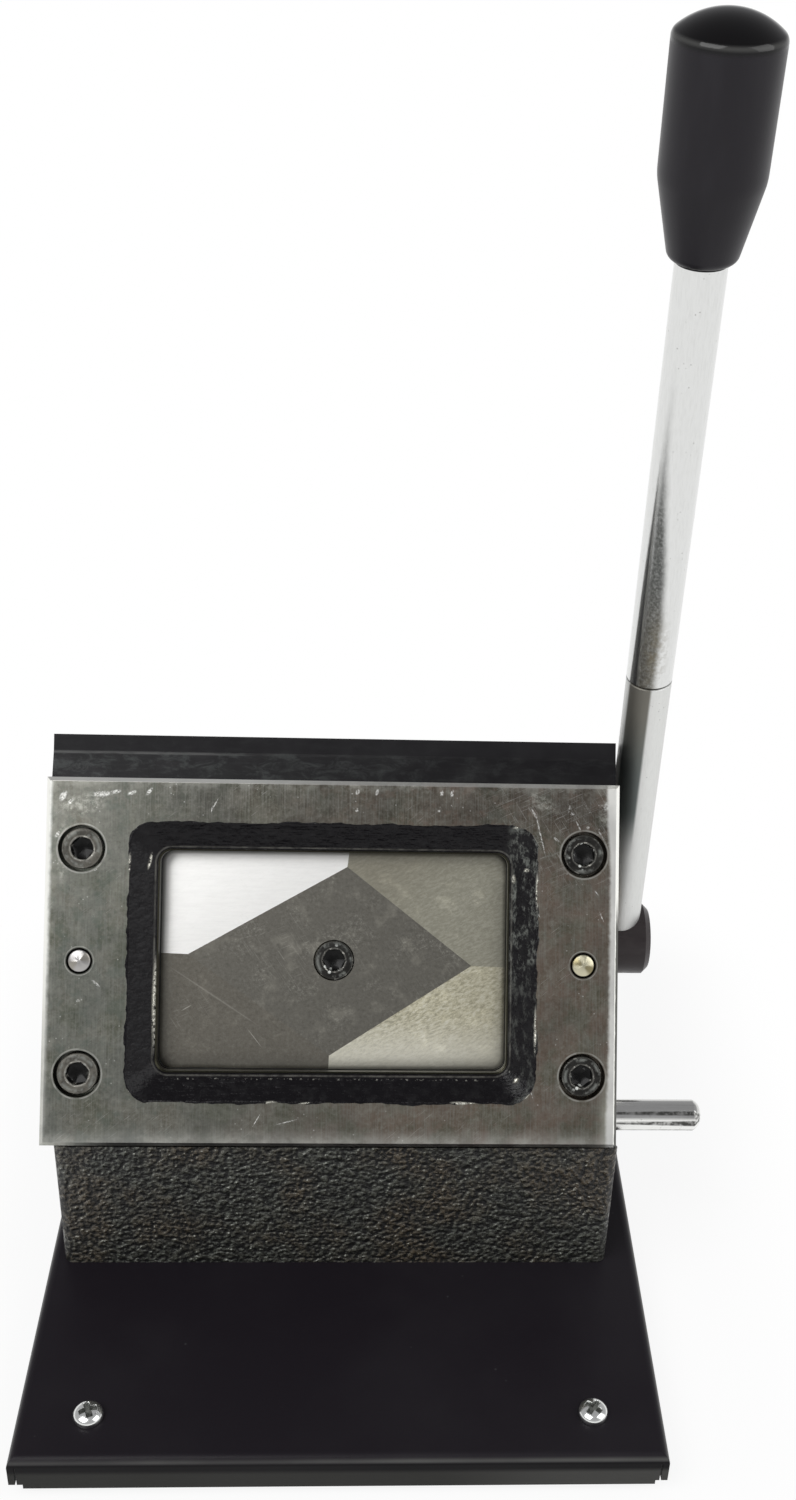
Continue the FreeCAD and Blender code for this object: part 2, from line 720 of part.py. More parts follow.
def spacer(label, sign):
    """Strip between the two plates that keeps the sheet slot open."""
    body = new_body(label)
    outline = Outline(body, "outline", height="0 - plate_thickness")
    outline.rectangle("((plate_width - slot_width) / 2)", "plate_height", f"0 {sign} (plate_width + slot_width) / 4")
    across = f"0 {sign} screw_pitch_x / 2"
    for up in ("0 - screw_pitch_y / 2", "screw_pitch_y / 2"):
        outline.circle("screw_thread + screw_hole_clearance", across, up)
    outline.circle("dowel_diameter", across, "0")
    pad(body, outline, "sheet_slot", reverse=True)
    return in_die_frame(body)


def guide_plate():
    """Plate behind the slot that guides the punch; its top leans back to lead the sheet in."""
    body = new_body("guide_plate")
    top = "half_plate + guide_rise"
    side = Outline(body, "side_view", "YZ_Plane").loop([
        ("0 - half_plate", "0 - face_depth"),
        (top, "0 - face_depth"),
        (top, "0 - guide_front - lead_in_depth"),
        (f"{top} - lead_in_land", "0 - guide_front - lead_in_depth"),
        (f"{top} - lead_in_land - lead_in_length", "0 - guide_front"),
        ("0 - half_plate", "0 - guide_front"),
    ])
    pad(body, side, "guide_width", both_ways=True, name="plate")
    window = Outline(body, "window", height="0 - guide_front")
    cut(body, window.soft_rectangle("hole_width", "hole_height", "card_corner"), "guide_thickness", name="window_cut")
    holes = Outline(body, "screw_holes", height="0 - guide_front")
    dowel_holes(screw_holes(holes, "screw_thread + screw_hole_clearance"))
    cut(body, holes, "guide_thickness", name="screw_holes_cut")
    return in_die_frame(body)


def cap_screw(label, sink):
    """Socket head cap screw along local Z, its head's face some way under the origin."""
    body = new_body(label)
    face = f"0 - ({sink})"
    seat = f"{face} - screw_head_height"
    outline = Outline(body, "profile", "XZ_Plane").loop([
        ("0", f"{seat} - screw_length"),
        ("screw_thread / 2 - screw_edge", f"{seat} - screw_length"),
        ("screw_thread / 2", f"{seat} - screw_length + screw_edge"),
        ("screw_thread / 2", seat),
        ("screw_head / 2", seat),
        ("screw_head / 2", f"{face} - screw_edge"),
        ("screw_head / 2 - screw_edge", face),
        ("0", face),
    ])
    turn_about(body, outline)
    socket = Outline(body, "socket", height=face).hexagon("socket_across_flats")
    cut(body, socket, "socket_depth", name="socket_cut")
    return body


def at_face_spot(piece, x, y):
    """Turned like the plates and put at a spot on their front face."""
    up = f"die_y + ({y}) * sin(face_tilt * 1deg)", f"die_z + ({y}) * cos(face_tilt * 1deg)"
    return place(piece, f"die_x + {x}", *up, "90 - face_tilt")


def die_screw(number, x, y):
    return at_face_spot(cap_screw("die_screw_%d" % number, "screw_sink"), x, y)


def dowel_pin(number, x):
    body = new_body("dowel_pin_%d" % number)
    outline = Outline(body, "profile", "XZ_Plane").loop([
        ("0", "0 - dowel_length"),
        ("dowel_diameter / 2 - screw_edge", "0 - dowel_length"),
        ("dowel_diameter / 2", "screw_edge - dowel_length"),
        ("dowel_diameter / 2", "0 - screw_edge"),
        ("dowel_diameter / 2 - screw_edge", "0"),
        ("0", "0"),
    ])
    turn_about(body, outline)
    return at_face_spot(body, x, "0")


# Punch and ram, which slide square to the plates.


def shear_grinding(reach):
    """What grinding takes off the punch outside its flat middle facet.

    Each of the four cuts starts at one side of the facet and falls away to the card's corner beyond it.
    """
    half_x, half_y = size("card_width / 2"), size("card_height / 2")
    drop, face = size("shear_drop"), -size("punch_front")
    spots = [Vector(u * half_x, v * half_y, face) for u, v in FACET_SHARES]
    corners = [(-1, 1), (1, 1), (1, -1), (-1, -1)]
    tools = []
    for step, (cx, cy) in enumerate(corners):
        start, end = spots[step], spots[(step + 1) % len(spots)]
        along = (end - start).normalize()
        corner = Vector(cx * half_x, cy * half_y, face)
        away = corner - start - along * (corner - start).dot(along)
        fall = Vector(away.x, away.y, -drop) * 2
        low, high = start - along * reach, end + along * reach
        slope = Part.makePolygon([low, high, high + fall, low + fall, low])
        tools.append(Part.Face(slope).extrude(Vector(0, 0, reach)))
    return tools[0].fuse(tools[1:])


def punch():
    """Card-sized block with shear-ground facets and a counterbored hole for its screw."""
    body = new_body("punch_block")
    face = "0 - punch_front"
    outline = Outline(body, "outline", height=face).soft_rectangle("card_width", "card_height", "card_corner")
    pad(body, outline, "punch_length", reverse=True, name="block")
    hole = Outline(body, "screw_hole", height=face).circle("screw_thread + screw_hole_clearance")
    cut(body, hole, "punch_length", name="screw_hole_cut")
    sunk = Outline(body, "counterbore", height=face).circle("screw_head + 4 * die_clearance")
    cut(body, sunk, "screw_head_height + screw_sink", name="counterbore_cut")
    tools = doc.addObject("Part::Feature", "shear_grinding")
    tools.Shape = shear_grinding(size("card_width"))
    ground = doc.addObject("Part::Cut", "punch")
    ground.Label = "punch"
    ground.Base = body
    ground.Tool = tools
    doc.recompute()
    return in_die_frame(ground)


def punch_screw():
    return in_die_frame(cap_screw("punch_screw", "punch_front + screw_sink"))


def ram():
    """Block behind the punch with a cross slot that the eccentric works in."""
    body = new_body("ram")
    front = "0 - ram_front"
    outline = Outline(body, "outline", height=front).soft_rectangle("card_width", "card_height", "card_corner")
    pad(body, outline, "ram_length", reverse=True, name="block")
    rise = "(throw - crank_rise)"
    slot = Outline(body, "slot", "YZ_Plane").rectangle(
        f"(eccentric_diameter + {rise} + 2 * slot_end_play)", "(eccentric_diameter + 2 * slot_play)",
        f"shaft_rise + crank_rise + {rise} / 2", "0 - shaft_setback - crank_back")
    cut(body, slot, "card_width", both_ways=True, name="slot_cut")
    tapped = Outline(body, "tapped_hole", height=front).circle("screw_thread + 2 * thread_gap")
    reach = "screw_sink + screw_head_height + screw_length"
    cut(body, tapped, f"{reach} + hole_overrun - punch_length", name="tapped_hole_cut")
    return in_die_frame(body)


# Shaft, turned in one piece: left journal, eccentric, right journal and the hub that takes the lever.


def eccentric_shaft():
    body = new_body("eccentric_shaft")
    pad(body, Outline(body, "left_journal", height="body_left + shaft_end_setback").circle("journal_left"),
        "0 - cheek_left - body_left - shaft_end_setback", name="left_journal_pad")
    down = "crank_back * sin(face_tilt * 1deg) - crank_rise * cos(face_tilt * 1deg)"
    back = "crank_rise * sin(face_tilt * 1deg) + crank_back * cos(face_tilt * 1deg)"
    pad(body, Outline(body, "eccentric", height="0 - cheek_left").circle("eccentric_diameter", down, back),
        "cheek_left + cheek_right", name="eccentric_pad")
    pad(body, Outline(body, "right_journal", height="cheek_right").circle("journal_right"),
        "body_right - cheek_right", name="right_journal_pad")
    pad(body, Outline(body, "hub", height="body_right").circle("hub_diameter"), "hub_reach", name="hub_pad")
    end = size("body_right + hub_reach")
    soften(body, lambda e: level_at(e, end), "hub_edge", "PartDesign::Chamfer", "hub_chamfer")
    groove = Outline(body, "ring_groove", height="ring_place")
    groove.circle("journal_left + 2 * ring_wall").circle("journal_left - 2 * ring_depth")
    cut(body, groove, "ring_thickness", reverse=True, name="ring_groove_cut")
    ahead, inward = "cos(lever_toe_in * 1deg)", "sin(lever_toe_in * 1deg)"
    sideways = "rod_sink * sin(lever_lean * 1deg)"
    base = (f"{sideways} * {ahead}", f"body_right + hub_reach - lever_inset + {sideways} * {inward}",
            "rod_sink * cos(lever_lean * 1deg)")
    hole = Outline(body, "rod_hole", "YZ_Plane")
    hole.turned(("0 - " + inward, ahead, "0"), "180 + lever_lean", base)
    cut(body, hole.circle("rod_diameter"), "hub_diameter", reverse=True, name="rod_hole_cut")
    return on_shaft(body)


def bush(label, bore, journal, start, length):
    body = new_body(label)
    outline = Outline(body, "ring", height=start).circle(bore).circle(f"{journal} + 2 * running_clearance")
    pad(body, outline, length)
    return on_shaft(body)


def bush_right():
    start = "cheek_right + shaft_float"
    return bush("bush_right", "bore_right", "journal_right", start, f"body_right - bush_setback - ({start})")


def bush_left():
    start = "body_left + end_recess_depth"
    return bush("bush_left", "bore_left", "journal_left", start, f"0 - cheek_right - ({start})")


def thrust_washer():
    body = new_body("thrust_washer")
    outline = Outline(body, "ring", height="body_left + end_recess_depth")
    outline.circle("end_recess_diameter - 2 * washer_room").circle("journal_left + 4 * running_clearance")
    pad(body, outline, "washer_thickness", reverse=True)
    return on_shaft(body)


def retaining_ring():
    body = new_body("retaining_ring")
    outline = Outline(body, "ring", height="ring_place")
    outline.circle("journal_left + 2 * ring_wall").circle("journal_left - 2 * ring_depth")
    pad(body, outline, "ring_thickness")
    gap = Outline(body, "gap", height="ring_place")
    gap.rectangle("(2 * ring_wall + journal_left / 2)", "ring_gap", "journal_left / 2 + ring_wall", "0")
    cut(body, gap, "ring_thickness", reverse=True, name="gap_cut")
    return on_shaft(body)


# Lever: two rods on a stud, and the grip on a moulded-in insert.


def lever_rod_lower():
    body = new_body("lever_rod_lower")
    low = "rod_end_gap - rod_sink"
    outline = Outline(body, "profile", "XZ_Plane").loop([
        ("0", low),
        ("rod_diameter / 2 - rod_edge", low),
        ("rod_diameter / 2", f"{low} + rod_edge"),
        ("rod_diameter / 2", "rod_joint - rod_edge"),
        ("rod_diameter / 2 - rod_edge", "rod_joint"),
        ("stud_diameter / 2", "rod_joint"),
        ("stud_diameter / 2", "rod_joint - stud_length / 2 - hole_overrun"),
        ("0", "rod_joint - stud_length / 2 - hole_overrun"),
    ])
    turn_about(body, outline)
    return on_lever(body)


def lever_rod_upper():
    body = new_body("lever_rod_upper")
    outline = Outline(body, "profile", "XZ_Plane").loop([
        ("0", "rod_joint + stud_length / 2 + hole_overrun"),
        ("stud_diameter / 2", "rod_joint + stud_length / 2 + hole_overrun"),
        ("stud_diameter / 2", "rod_joint"),
        ("rod_diameter / 2 - rod_edge", "rod_joint"),
        ("rod_diameter / 2", "rod_joint + rod_edge"),
        ("rod_diameter / 2", "rod_reach - rod_edge"),
        ("rod_diameter / 2 - rod_edge", "rod_reach"),
        ("stud_diameter / 2", "rod_reach"),
        ("stud_diameter / 2", "rod_reach + spigot_length"),
        ("0", "rod_reach + spigot_length"),
    ])
    turn_about(body, outline)
    return on_lever(body)


def rod_stud():
    body = new_body("rod_stud")
    outline = Outline(body, "section", height="rod_joint").circle("stud_diameter")
    pad(body, outline, "stud_length", both_ways=True)
    return on_lever(body)


def grip_insert():
    body = new_body("grip_insert")
    outline = Outline(body, "ring", height="rod_reach + insert_sink")
    outline.circle("insert_diameter").circle("stud_diameter + 2 * thread_gap")
    pad(body, outline, "insert_length")
    return on_lever(body)


def grip():
    """Moulded grip, drawn in towards the rod, with a round rim and a low dome sunk a little inside it."""
    body = new_body("grip")
    points = [
        ("0", "rod_reach + spigot_length + hole_overrun"),
        ("insert_diameter / 2", "rod_reach + spigot_length + hole_overrun"),
        ("insert_diameter / 2", "rod_reach"),
    ]
    for row in GRIP_SHARES:
        spots = [(f"grip_diameter / 2 * {radius}", f"rod_reach + grip_length * {height}")
                 for height, radius in zip(row[::2], row[1::2])]
        points.append(sum(spots, ()))
    points.append(("0", "rod_reach + grip_length"))
    turn_about(body, Outline(body, "profile", "XZ_Plane").loop(points))
    return on_lever(body)


def stop_pin():
    """Pin driven into the right side, under the lever's path, with a round end."""
    body = new_body("stop_pin")
    across, up = DOME_SHARES
    outline = Outline(body, "profile", "XZ_Plane").loop([
        ("0", "0 - pin_sink"),
        ("pin_diameter / 2", "0 - pin_sink"),
        ("pin_diameter / 2", "pin_reach - pin_dome",
         f"pin_diameter / 2 * {across}", f"pin_reach - pin_dome + pin_dome * {up}"),
        (f"pin_diameter / 2 * {DOME_FLAT_SHARE}", "pin_reach"),
        ("0", "pin_reach"),
    ])
    turn_about(body, outline)
    return place(body, "body_x + body_width / 2", "pin_y", "pin_z", "90", ALONG_Y)


def set_of(label, make, spots):
    return group_of(label, [make(number, *spot) for number, spot in enumerate(spots)])


def build():
    """Makes every sub-part, from the table up."""
    return [
        base_tray(),
        set_of("rubber_feet", rubber_foot, TRAY_SPOTS),
        set_of("tray_screws", tray_screw, TRAY_SPOTS),
        set_of("tray_nuts", tray_nut, TRAY_SPOTS),
        set_of("body_bolts", body_bolt, BOLT_SPOTS),
        set_of("body_washers", body_washer, BOLT_SPOTS),
        body_casting(),
        guide_plate(),
        spacer("spacer_left", "-"),
        spacer("spacer_right", "+"),
        die_plate(),
        set_of("die_screws", die_screw, SCREW_SPOTS),
        set_of("dowel_pins", dowel_pin, [("0 - screw_pitch_x / 2",), ("screw_pitch_x / 2",)]),
        punch(),
        punch_screw(),
        ram(),
        eccentric_shaft(),
        bush_right(),
        bush_left(),
        thrust_washer(),
        retaining_ring(),
        lever_rod_lower(),
        lever_rod_upper(),
        rod_stud(),
        grip_insert(),
        grip(),
        stop_pin(),
    ]


def check_and_write(parts):
    """Stops on any failed object or unsound shape, and otherwise writes each sub-part's file."""
    doc.recompute()
    for item in doc.Objects:
        if "Invalid" in item.State or "Error" in item.State:
            raise RuntimeError("%s failed to build: %s" % (item.Label, item.State))
    for item in parts:
        if item.Shape.isNull() or not item.Shape.isValid():
            raise RuntimeError("%s has no sound shape" % item.Label)
    os.makedirs("parts", exist_ok=True)
    for item in parts:
        item.Shape.exportStep("parts/%s.step" % item.Label)
        box = item.Shape.BoundBox
        print("%-16s %d solids %10.1f mm3  X %7.2f %7.2f  Y %7.2f %7.2f  Z %7.2f %7.2f" % (
            item.Label, len(item.Shape.Solids), item.Shape.Volume,
            box.XMin, box.XMax, box.YMin, box.YMax, box.ZMin, box.ZMax))
    for place_name, _ in PLACES:
        print("%-12s %10.4f" % (place_name, getattr(places, place_name)))


check_and_write(build())
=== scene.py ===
import json
import logging
import math
from collections.abc import Mapping, Sequence
from dataclasses import dataclass
from enum import Enum

import bpy
import numpy as np
from mathutils import Euler, Matrix, Vector


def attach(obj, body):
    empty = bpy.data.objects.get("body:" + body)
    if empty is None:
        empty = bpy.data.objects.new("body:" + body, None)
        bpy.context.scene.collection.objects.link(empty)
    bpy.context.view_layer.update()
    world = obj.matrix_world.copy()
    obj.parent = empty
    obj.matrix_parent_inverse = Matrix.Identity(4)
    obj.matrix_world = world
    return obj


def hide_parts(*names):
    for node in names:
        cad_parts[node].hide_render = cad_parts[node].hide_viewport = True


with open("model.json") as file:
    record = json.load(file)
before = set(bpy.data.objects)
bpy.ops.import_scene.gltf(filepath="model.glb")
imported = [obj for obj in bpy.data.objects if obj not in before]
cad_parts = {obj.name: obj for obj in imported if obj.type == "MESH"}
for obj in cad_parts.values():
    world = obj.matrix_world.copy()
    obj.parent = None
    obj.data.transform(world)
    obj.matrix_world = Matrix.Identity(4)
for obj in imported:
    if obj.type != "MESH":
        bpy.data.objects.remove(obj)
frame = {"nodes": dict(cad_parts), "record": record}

log = logging.getLogger("card_cutter")
MM = 0.001
Socket = bpy.types.NodeSocket
Colour = tuple[float, float, float]
Feed = float | tuple[float, ...] | bpy.types.NodeSocket
Material = bpy.types.Material
Finishes = dict[str, Material]
Surface = tuple[np.ndarray, list[list[int]]]


@dataclass(frozen=True)
class Axes:
    """A sub-assembly's own axes: an origin in millimetres, and turns about X and then Y in degrees."""

    x: float = 0.0
    y: float = 0.0
    z: float = 0.0
    turn: float = 0.0
    side: float = 0.0

    def world(self, points: np.ndarray) -> np.ndarray:
        """Turns points about X and then Y and moves them to the origin.

        Args:
            points: One row of x, y and z for each point, in these axes, in millimetres.

        Returns:
            The same points in the whole object's axes, in metres.
        """
        turn = Euler((math.radians(self.turn), math.radians(self.side), 0)).to_matrix()
        return (points @ np.array(turn).T + (self.x, self.y, self.z)) * MM


# Local X runs across the plates, Y up along them and Z out of their front face.
DIE = Axes(-12.475, -19.847, 89.989, 57.1)
# Local Z runs up the lever rod from the shaft.
LEVER = Axes(66.725, 34.110, 59.251, 7.995, -0.945)
# Local X runs along the stop pin, out of the body's right side.
PIN = Axes(58.625, -20.175, 41.8)
# The whole object's own axes.
WHOLE = Axes()
# Half the pitches of the die plate's screws. The dowels lie on its middle line, as far out.
SCREW_SPOT = (61.5, 27.3)
# Half the sizes of the die plate, of its window and of the punch, and the radius of a card's corners.
PLATE_HALF = (70.25, 44.65)
WINDOW_HALF = (43.06, 27.06)
PUNCH_HALF = (43.0, 27.0)
CARD_CORNER = 3.0
# Half the sizes of the floor that the whole object stands over.
FOOTPRINT_HALF = (84.0, 102.0)


class Wear(Enum):
    """Where a blackened piece has lost its finish and carries painted highlights."""

    NONE = 0
    TOP_EDGE = 1
    SOCKET_RIMS = 2


class Recipe:
    """Adds shader nodes to one new material with short calls. Lengths are in millimetres."""

    def __init__(self, name: str) -> None:
        """Starts an empty material of that name."""
        self.material = bpy.data.materials.new(name)
        self.material.use_nodes = True
        self.tree = self.material.node_tree
        self.tree.nodes.clear()
        self.colour: Feed = (0.0, 0.0, 0.0)

    def add(self, kind: str, feeds: Mapping[int | str, Feed], **settings: object) -> bpy.types.Node:
        """Adds one node.

        Args:
            kind: The node's class name.
            feeds: A number, tuple or socket for each input that isn't left alone.
            settings: The node's own options.

        Returns:
            The new node.
        """
        node = self.tree.nodes.new(kind)
        for option, choice in settings.items():
            setattr(node, option, choice)
        for key, feed in feeds.items():
            socket = node.inputs[key]
            if isinstance(feed, bpy.types.NodeSocket):
                self.tree.links.new(feed, socket)
            elif socket.type == "RGBA" and len(feed) == 3:
                socket.default_value = (*feed, 1.0)
            else:
                socket.default_value = feed
        return node

    def spot(self, axes: Axes = WHOLE, stretch: tuple[float, float, float] = (1, 1, 1)) -> Socket:
        """Object coordinates in millimetres, in a sub-assembly's axes.

        Args:
            axes: The axes that the pattern lies in.
            stretch: How many times longer the pattern gets along each axis.

        Returns:
            The vector socket.
        """
        source = self.add("ShaderNodeTexCoord", {}).outputs["Object"]
        mapping = self.add("ShaderNodeMapping", {
            "Vector": source,
            "Location": (axes.x * MM, axes.y * MM, axes.z * MM),
            "Rotation": (math.radians(axes.turn), math.radians(axes.side), 0),
            "Scale": tuple(MM * s for s in stretch),
        }, vector_type="TEXTURE")
        return mapping.outputs["Vector"]

    def split(self, vector: Socket) -> tuple[Socket, Socket, Socket]:
        """The three parts of a vector."""
        node = self.add("ShaderNodeSeparateXYZ", {0: vector})
        return node.outputs[0], node.outputs[1], node.outputs[2]

    def noise(self, at: Socket, size: float, detail: float = 2.0, rough: float = 0.5,
              twist: float = 0.0) -> Socket:
        """Cloudy noise from 0 to 1 whose lumps are about size wide."""
        return self.add("ShaderNodeTexNoise", {
            "Vector": at, "Scale": 1 / size, "Detail": detail, "Roughness": rough, "Distortion": twist,
        }).outputs[0]

    def cells(self, at: Socket, size: float, feature: str = "F1") -> Socket:
        """Distance to the nearest of scattered points that are about size apart."""
        return self.add("ShaderNodeTexVoronoi", {"Vector": at, "Scale": 1 / size},
                        feature=feature).outputs["Distance"]

    def sum(self, operation: str, a: Feed, b: Feed = 0.0) -> Socket:
        """One step of arithmetic on two numbers."""
        return self.add("ShaderNodeMath", {0: a, 1: b}, operation=operation).outputs[0]

    def times(self, a: Feed, b: Feed) -> Socket:
        """a times b, which keeps a share only where the other one holds too."""
        return self.sum("MULTIPLY", a, b)

    def plus(self, a: Feed, b: Feed) -> Socket:
        """a and b added."""
        return self.sum("ADD", a, b)

    def less(self, a: Feed, b: Feed) -> Socket:
        """a with b taken away."""
        return self.sum("SUBTRACT", a, b)

    def size(self, a: Feed) -> Socket:
        """a without its sign."""
        return self.sum("ABSOLUTE", a)

    def fade(self, value: Feed, low: float, high: float, start: float = 0.0, end: float = 1.0) -> Socket:
        """Moves smoothly from start to end as value goes from low to high, and stays level outside."""
        return self.add("ShaderNodeMapRange", {0: value, 1: low, 2: high, 3: start, 4: end},
                        interpolation_type="SMOOTHSTEP").outputs[0]

    def blend(self, share: Feed, a: Feed, b: Feed) -> Socket:
        """Colour a where share is 0 and b where it is 1."""
        return self.add("ShaderNodeMix", {0: share, 6: a, 7: b}, data_type="RGBA").outputs[2]

    def level(self, share: Feed, a: Feed, b: Feed) -> Socket:
        """Number a where share is 0 and b where it is 1."""
        return self.add("ShaderNodeMix", {0: share, 2: a, 3: b}, data_type="FLOAT").outputs[0]

    def ring(self, x: Socket, y: Socket, half: tuple[float, float], corner: float) -> Socket:
        """Distance outside a rounded rectangle, less than 0 inside.

        It is the length of the part of (|x|, |y|) past the inner rectangle, less the corner's radius.
        """
        past = [self.sum("MAXIMUM", self.less(self.size(c), h - corner), 0.0)
                for c, h in ((x, half[0]), (y, half[1]))]
        return self.less(self.spread(*past), corner)

    def nick(self, at: Socket, x: float, y: float, half: tuple[float, float], turn: float) -> Socket:
        """1 inside a small soft-edged oval on the plate's face, else 0.

        Args:
            at: The vector in the plate's axes.
            x: Where its middle is across the plate.
            y: Where its middle is up the plate.
            half: Half its length and half its width.
            turn: How far its length leans from the X axis, in degrees.

        Returns:
            The share.
        """
        local = self.add("ShaderNodeMapping", {
            "Vector": at, "Location": (x, y, 0), "Rotation": (0, 0, math.radians(turn)),
            "Scale": (half[0], half[1], 40.0),
        }, vector_type="TEXTURE").outputs["Vector"]
        far = self.add("ShaderNodeVectorMath", {0: local}, operation="LENGTH").outputs["Value"]
        return self.fade(far, 0.45, 1.15, 1.0, 0.0)

    def nicks(self, at: Socket, rows: Sequence[tuple[float, ...]]) -> Socket:
        """1 inside any of several nicks, each a row of x, y, half its length, half its width and its turn."""
        return self.largest(*(self.nick(at, x, y, (long, wide), turn) for x, y, long, wide, turn in rows))

    def hairs(self, at: Socket, turn: float, wide: float, ratio: float, edge: float = 0.7) -> Socket:
        """1 on scattered thin scratches, else 0.

        Args:
            at: The vector in the plate's axes.
            turn: Which way the scratches run, in degrees from the X axis.
            wide: About how wide they are.
            ratio: How many times longer than wide they are.
            edge: The noise level past which a scratch shows, so a higher one leaves fewer.

        Returns:
            The share.
        """
        local = self.add("ShaderNodeMapping", {
            "Vector": at, "Location": (turn, 0, turn * 0.3), "Rotation": (0, 0, math.radians(turn)),
            "Scale": (ratio, 1, 1),
        }, vector_type="TEXTURE").outputs["Vector"]
        return self.fade(self.noise(local, wide * 2.2, 0), edge, edge + 0.035)

    def spread(self, x: Feed, y: Feed) -> Socket:
        """Length of a flat vector."""
        return self.sum("SQRT", self.plus(self.times(x, x), self.times(y, y)))

    def from_screws(self, x: Socket, y: Socket) -> Socket:
        """Distance from the axis of the nearest of the die plate's four screws."""
        return self.spread(self.less(self.size(x), SCREW_SPOT[0]),
                           self.less(self.size(y), SCREW_SPOT[1]))

    def band(self, value: Socket, middle: float, half: float) -> Socket:
        """1 where value is near middle, falling to 0 half away from it."""
        return self.fade(self.size(self.less(value, middle)), 0, half, 1, 0)

    def largest(self, *shares: Socket) -> Socket:
        """The largest of several numbers."""
        most = shares[0]
        for share in shares[1:]:
            most = self.sum("MAXIMUM", most, share)
        return most

    def relief(self, height: Socket, deep: float, strength: float = 1.0) -> Socket:
        """A normal bent by a height map from 0 to 1 that stands deep at 1."""
        return self.add("ShaderNodeBump",
                        {"Height": height, "Distance": deep * MM, "Strength": strength}).outputs[0]

    def coat(self, share: Feed, colour: Feed) -> None:
        """Lays a colour over the ones so far, as far as share goes."""
        self.colour = self.blend(share, self.colour, colour)

    def close(self, rough: Feed, normal: Socket | None = None, metal: Feed = 0.0,
              shine: float = 0.5) -> Material:
        """Ends the material in one Principled surface of the colour so far.

        Args:
            rough: Its roughness.
            normal: Its bent normal, or None for a smooth surface.
            metal: How far it is metal.
            shine: Its specular level, a plain number.

        Returns:
            The finished material.
        """
        feeds = {"Base Color": self.colour, "Roughness": rough, "Metallic": metal,
                 "Specular IOR Level": shine}
        if normal is not None:
            feeds["Normal"] = normal
        surface = self.add("ShaderNodeBsdfPrincipled", feeds)
        self.add("ShaderNodeOutputMaterial", {"Surface": surface.outputs[0]})
        return self.material


@dataclass(frozen=True)
class PowderCoat:
    """Satin coat on sheet steel: fine orange peel, a little dust, slightly uneven gloss, painted light and
    shade on the flange.
    """

    name: str = "tray_paint"
    colour: Colour = (0.0102, 0.0082, 0.0112)
    dust: Colour = (0.05, 0.05, 0.052)
    gloss: float = 0.36
    peel: float = 0.55
    shade: Colour = (0.0020, 0.0017, 0.0023)
    # Colours of the painted light on the flange's lower face, at the left and at the right.
    flange_light_left: Colour = (0.026, 0.026, 0.024)
    flange_light_right: Colour = (0.050, 0.050, 0.047)
    # Colour of the painted highlight along the front bend.
    bend: Colour = (0.075, 0.075, 0.072)
    fold: float = 10.9
    # Height below which the painted light on the flange begins.
    flange_light_top: float = 8.8

    def make(self) -> Material:
        """Builds the material."""
        r = Recipe(self.name)
        at = r.spot()
        cloud = r.noise(at, 46, 3, 0.55)
        specks = r.fade(r.cells(at, 5.2), 0.07, 0.035)
        few = r.times(specks, r.fade(r.noise(at, 21, 1), 0.52, 0.62))
        film = r.fade(cloud, 0.38, 0.72, 0.0, 0.07)
        r.colour = r.blend(r.sum("MAXIMUM", film, r.times(few, 0.55)), self.colour, self.dust)
        x, y, z = r.split(at)
        # Painted shade on the flange below the front bend.
        r.coat(r.fade(z, self.fold, self.fold - 0.7, 0.0, 0.9), self.shade)
        # Painted light on the flange's lower face, lighter to the right.
        flange_light = r.blend(r.fade(x, 10, 50), self.flange_light_left, self.flange_light_right)
        r.coat(r.fade(z, self.flange_light_top, self.flange_light_top - 1.8), flange_light)
        # Painted highlight along the front bend, broken up by the cloud.
        worn = r.times(r.band(z, self.fold + 0.1, 0.7), r.fade(cloud, 0.35, 0.65, 0.5, 1.0))
        r.coat(worn, self.bend)
        rough = r.fade(cloud, 0.3, 0.7, self.gloss - 0.03, self.gloss + 0.07)
        rough = r.plus(rough, r.fade(z, self.fold, self.fold - 0.7, 0.0, 0.3))
        normal = r.relief(r.noise(at, self.peel, 1.5, 0.4), 0.035, 0.55)
        return r.close(rough, normal, shine=0.15)


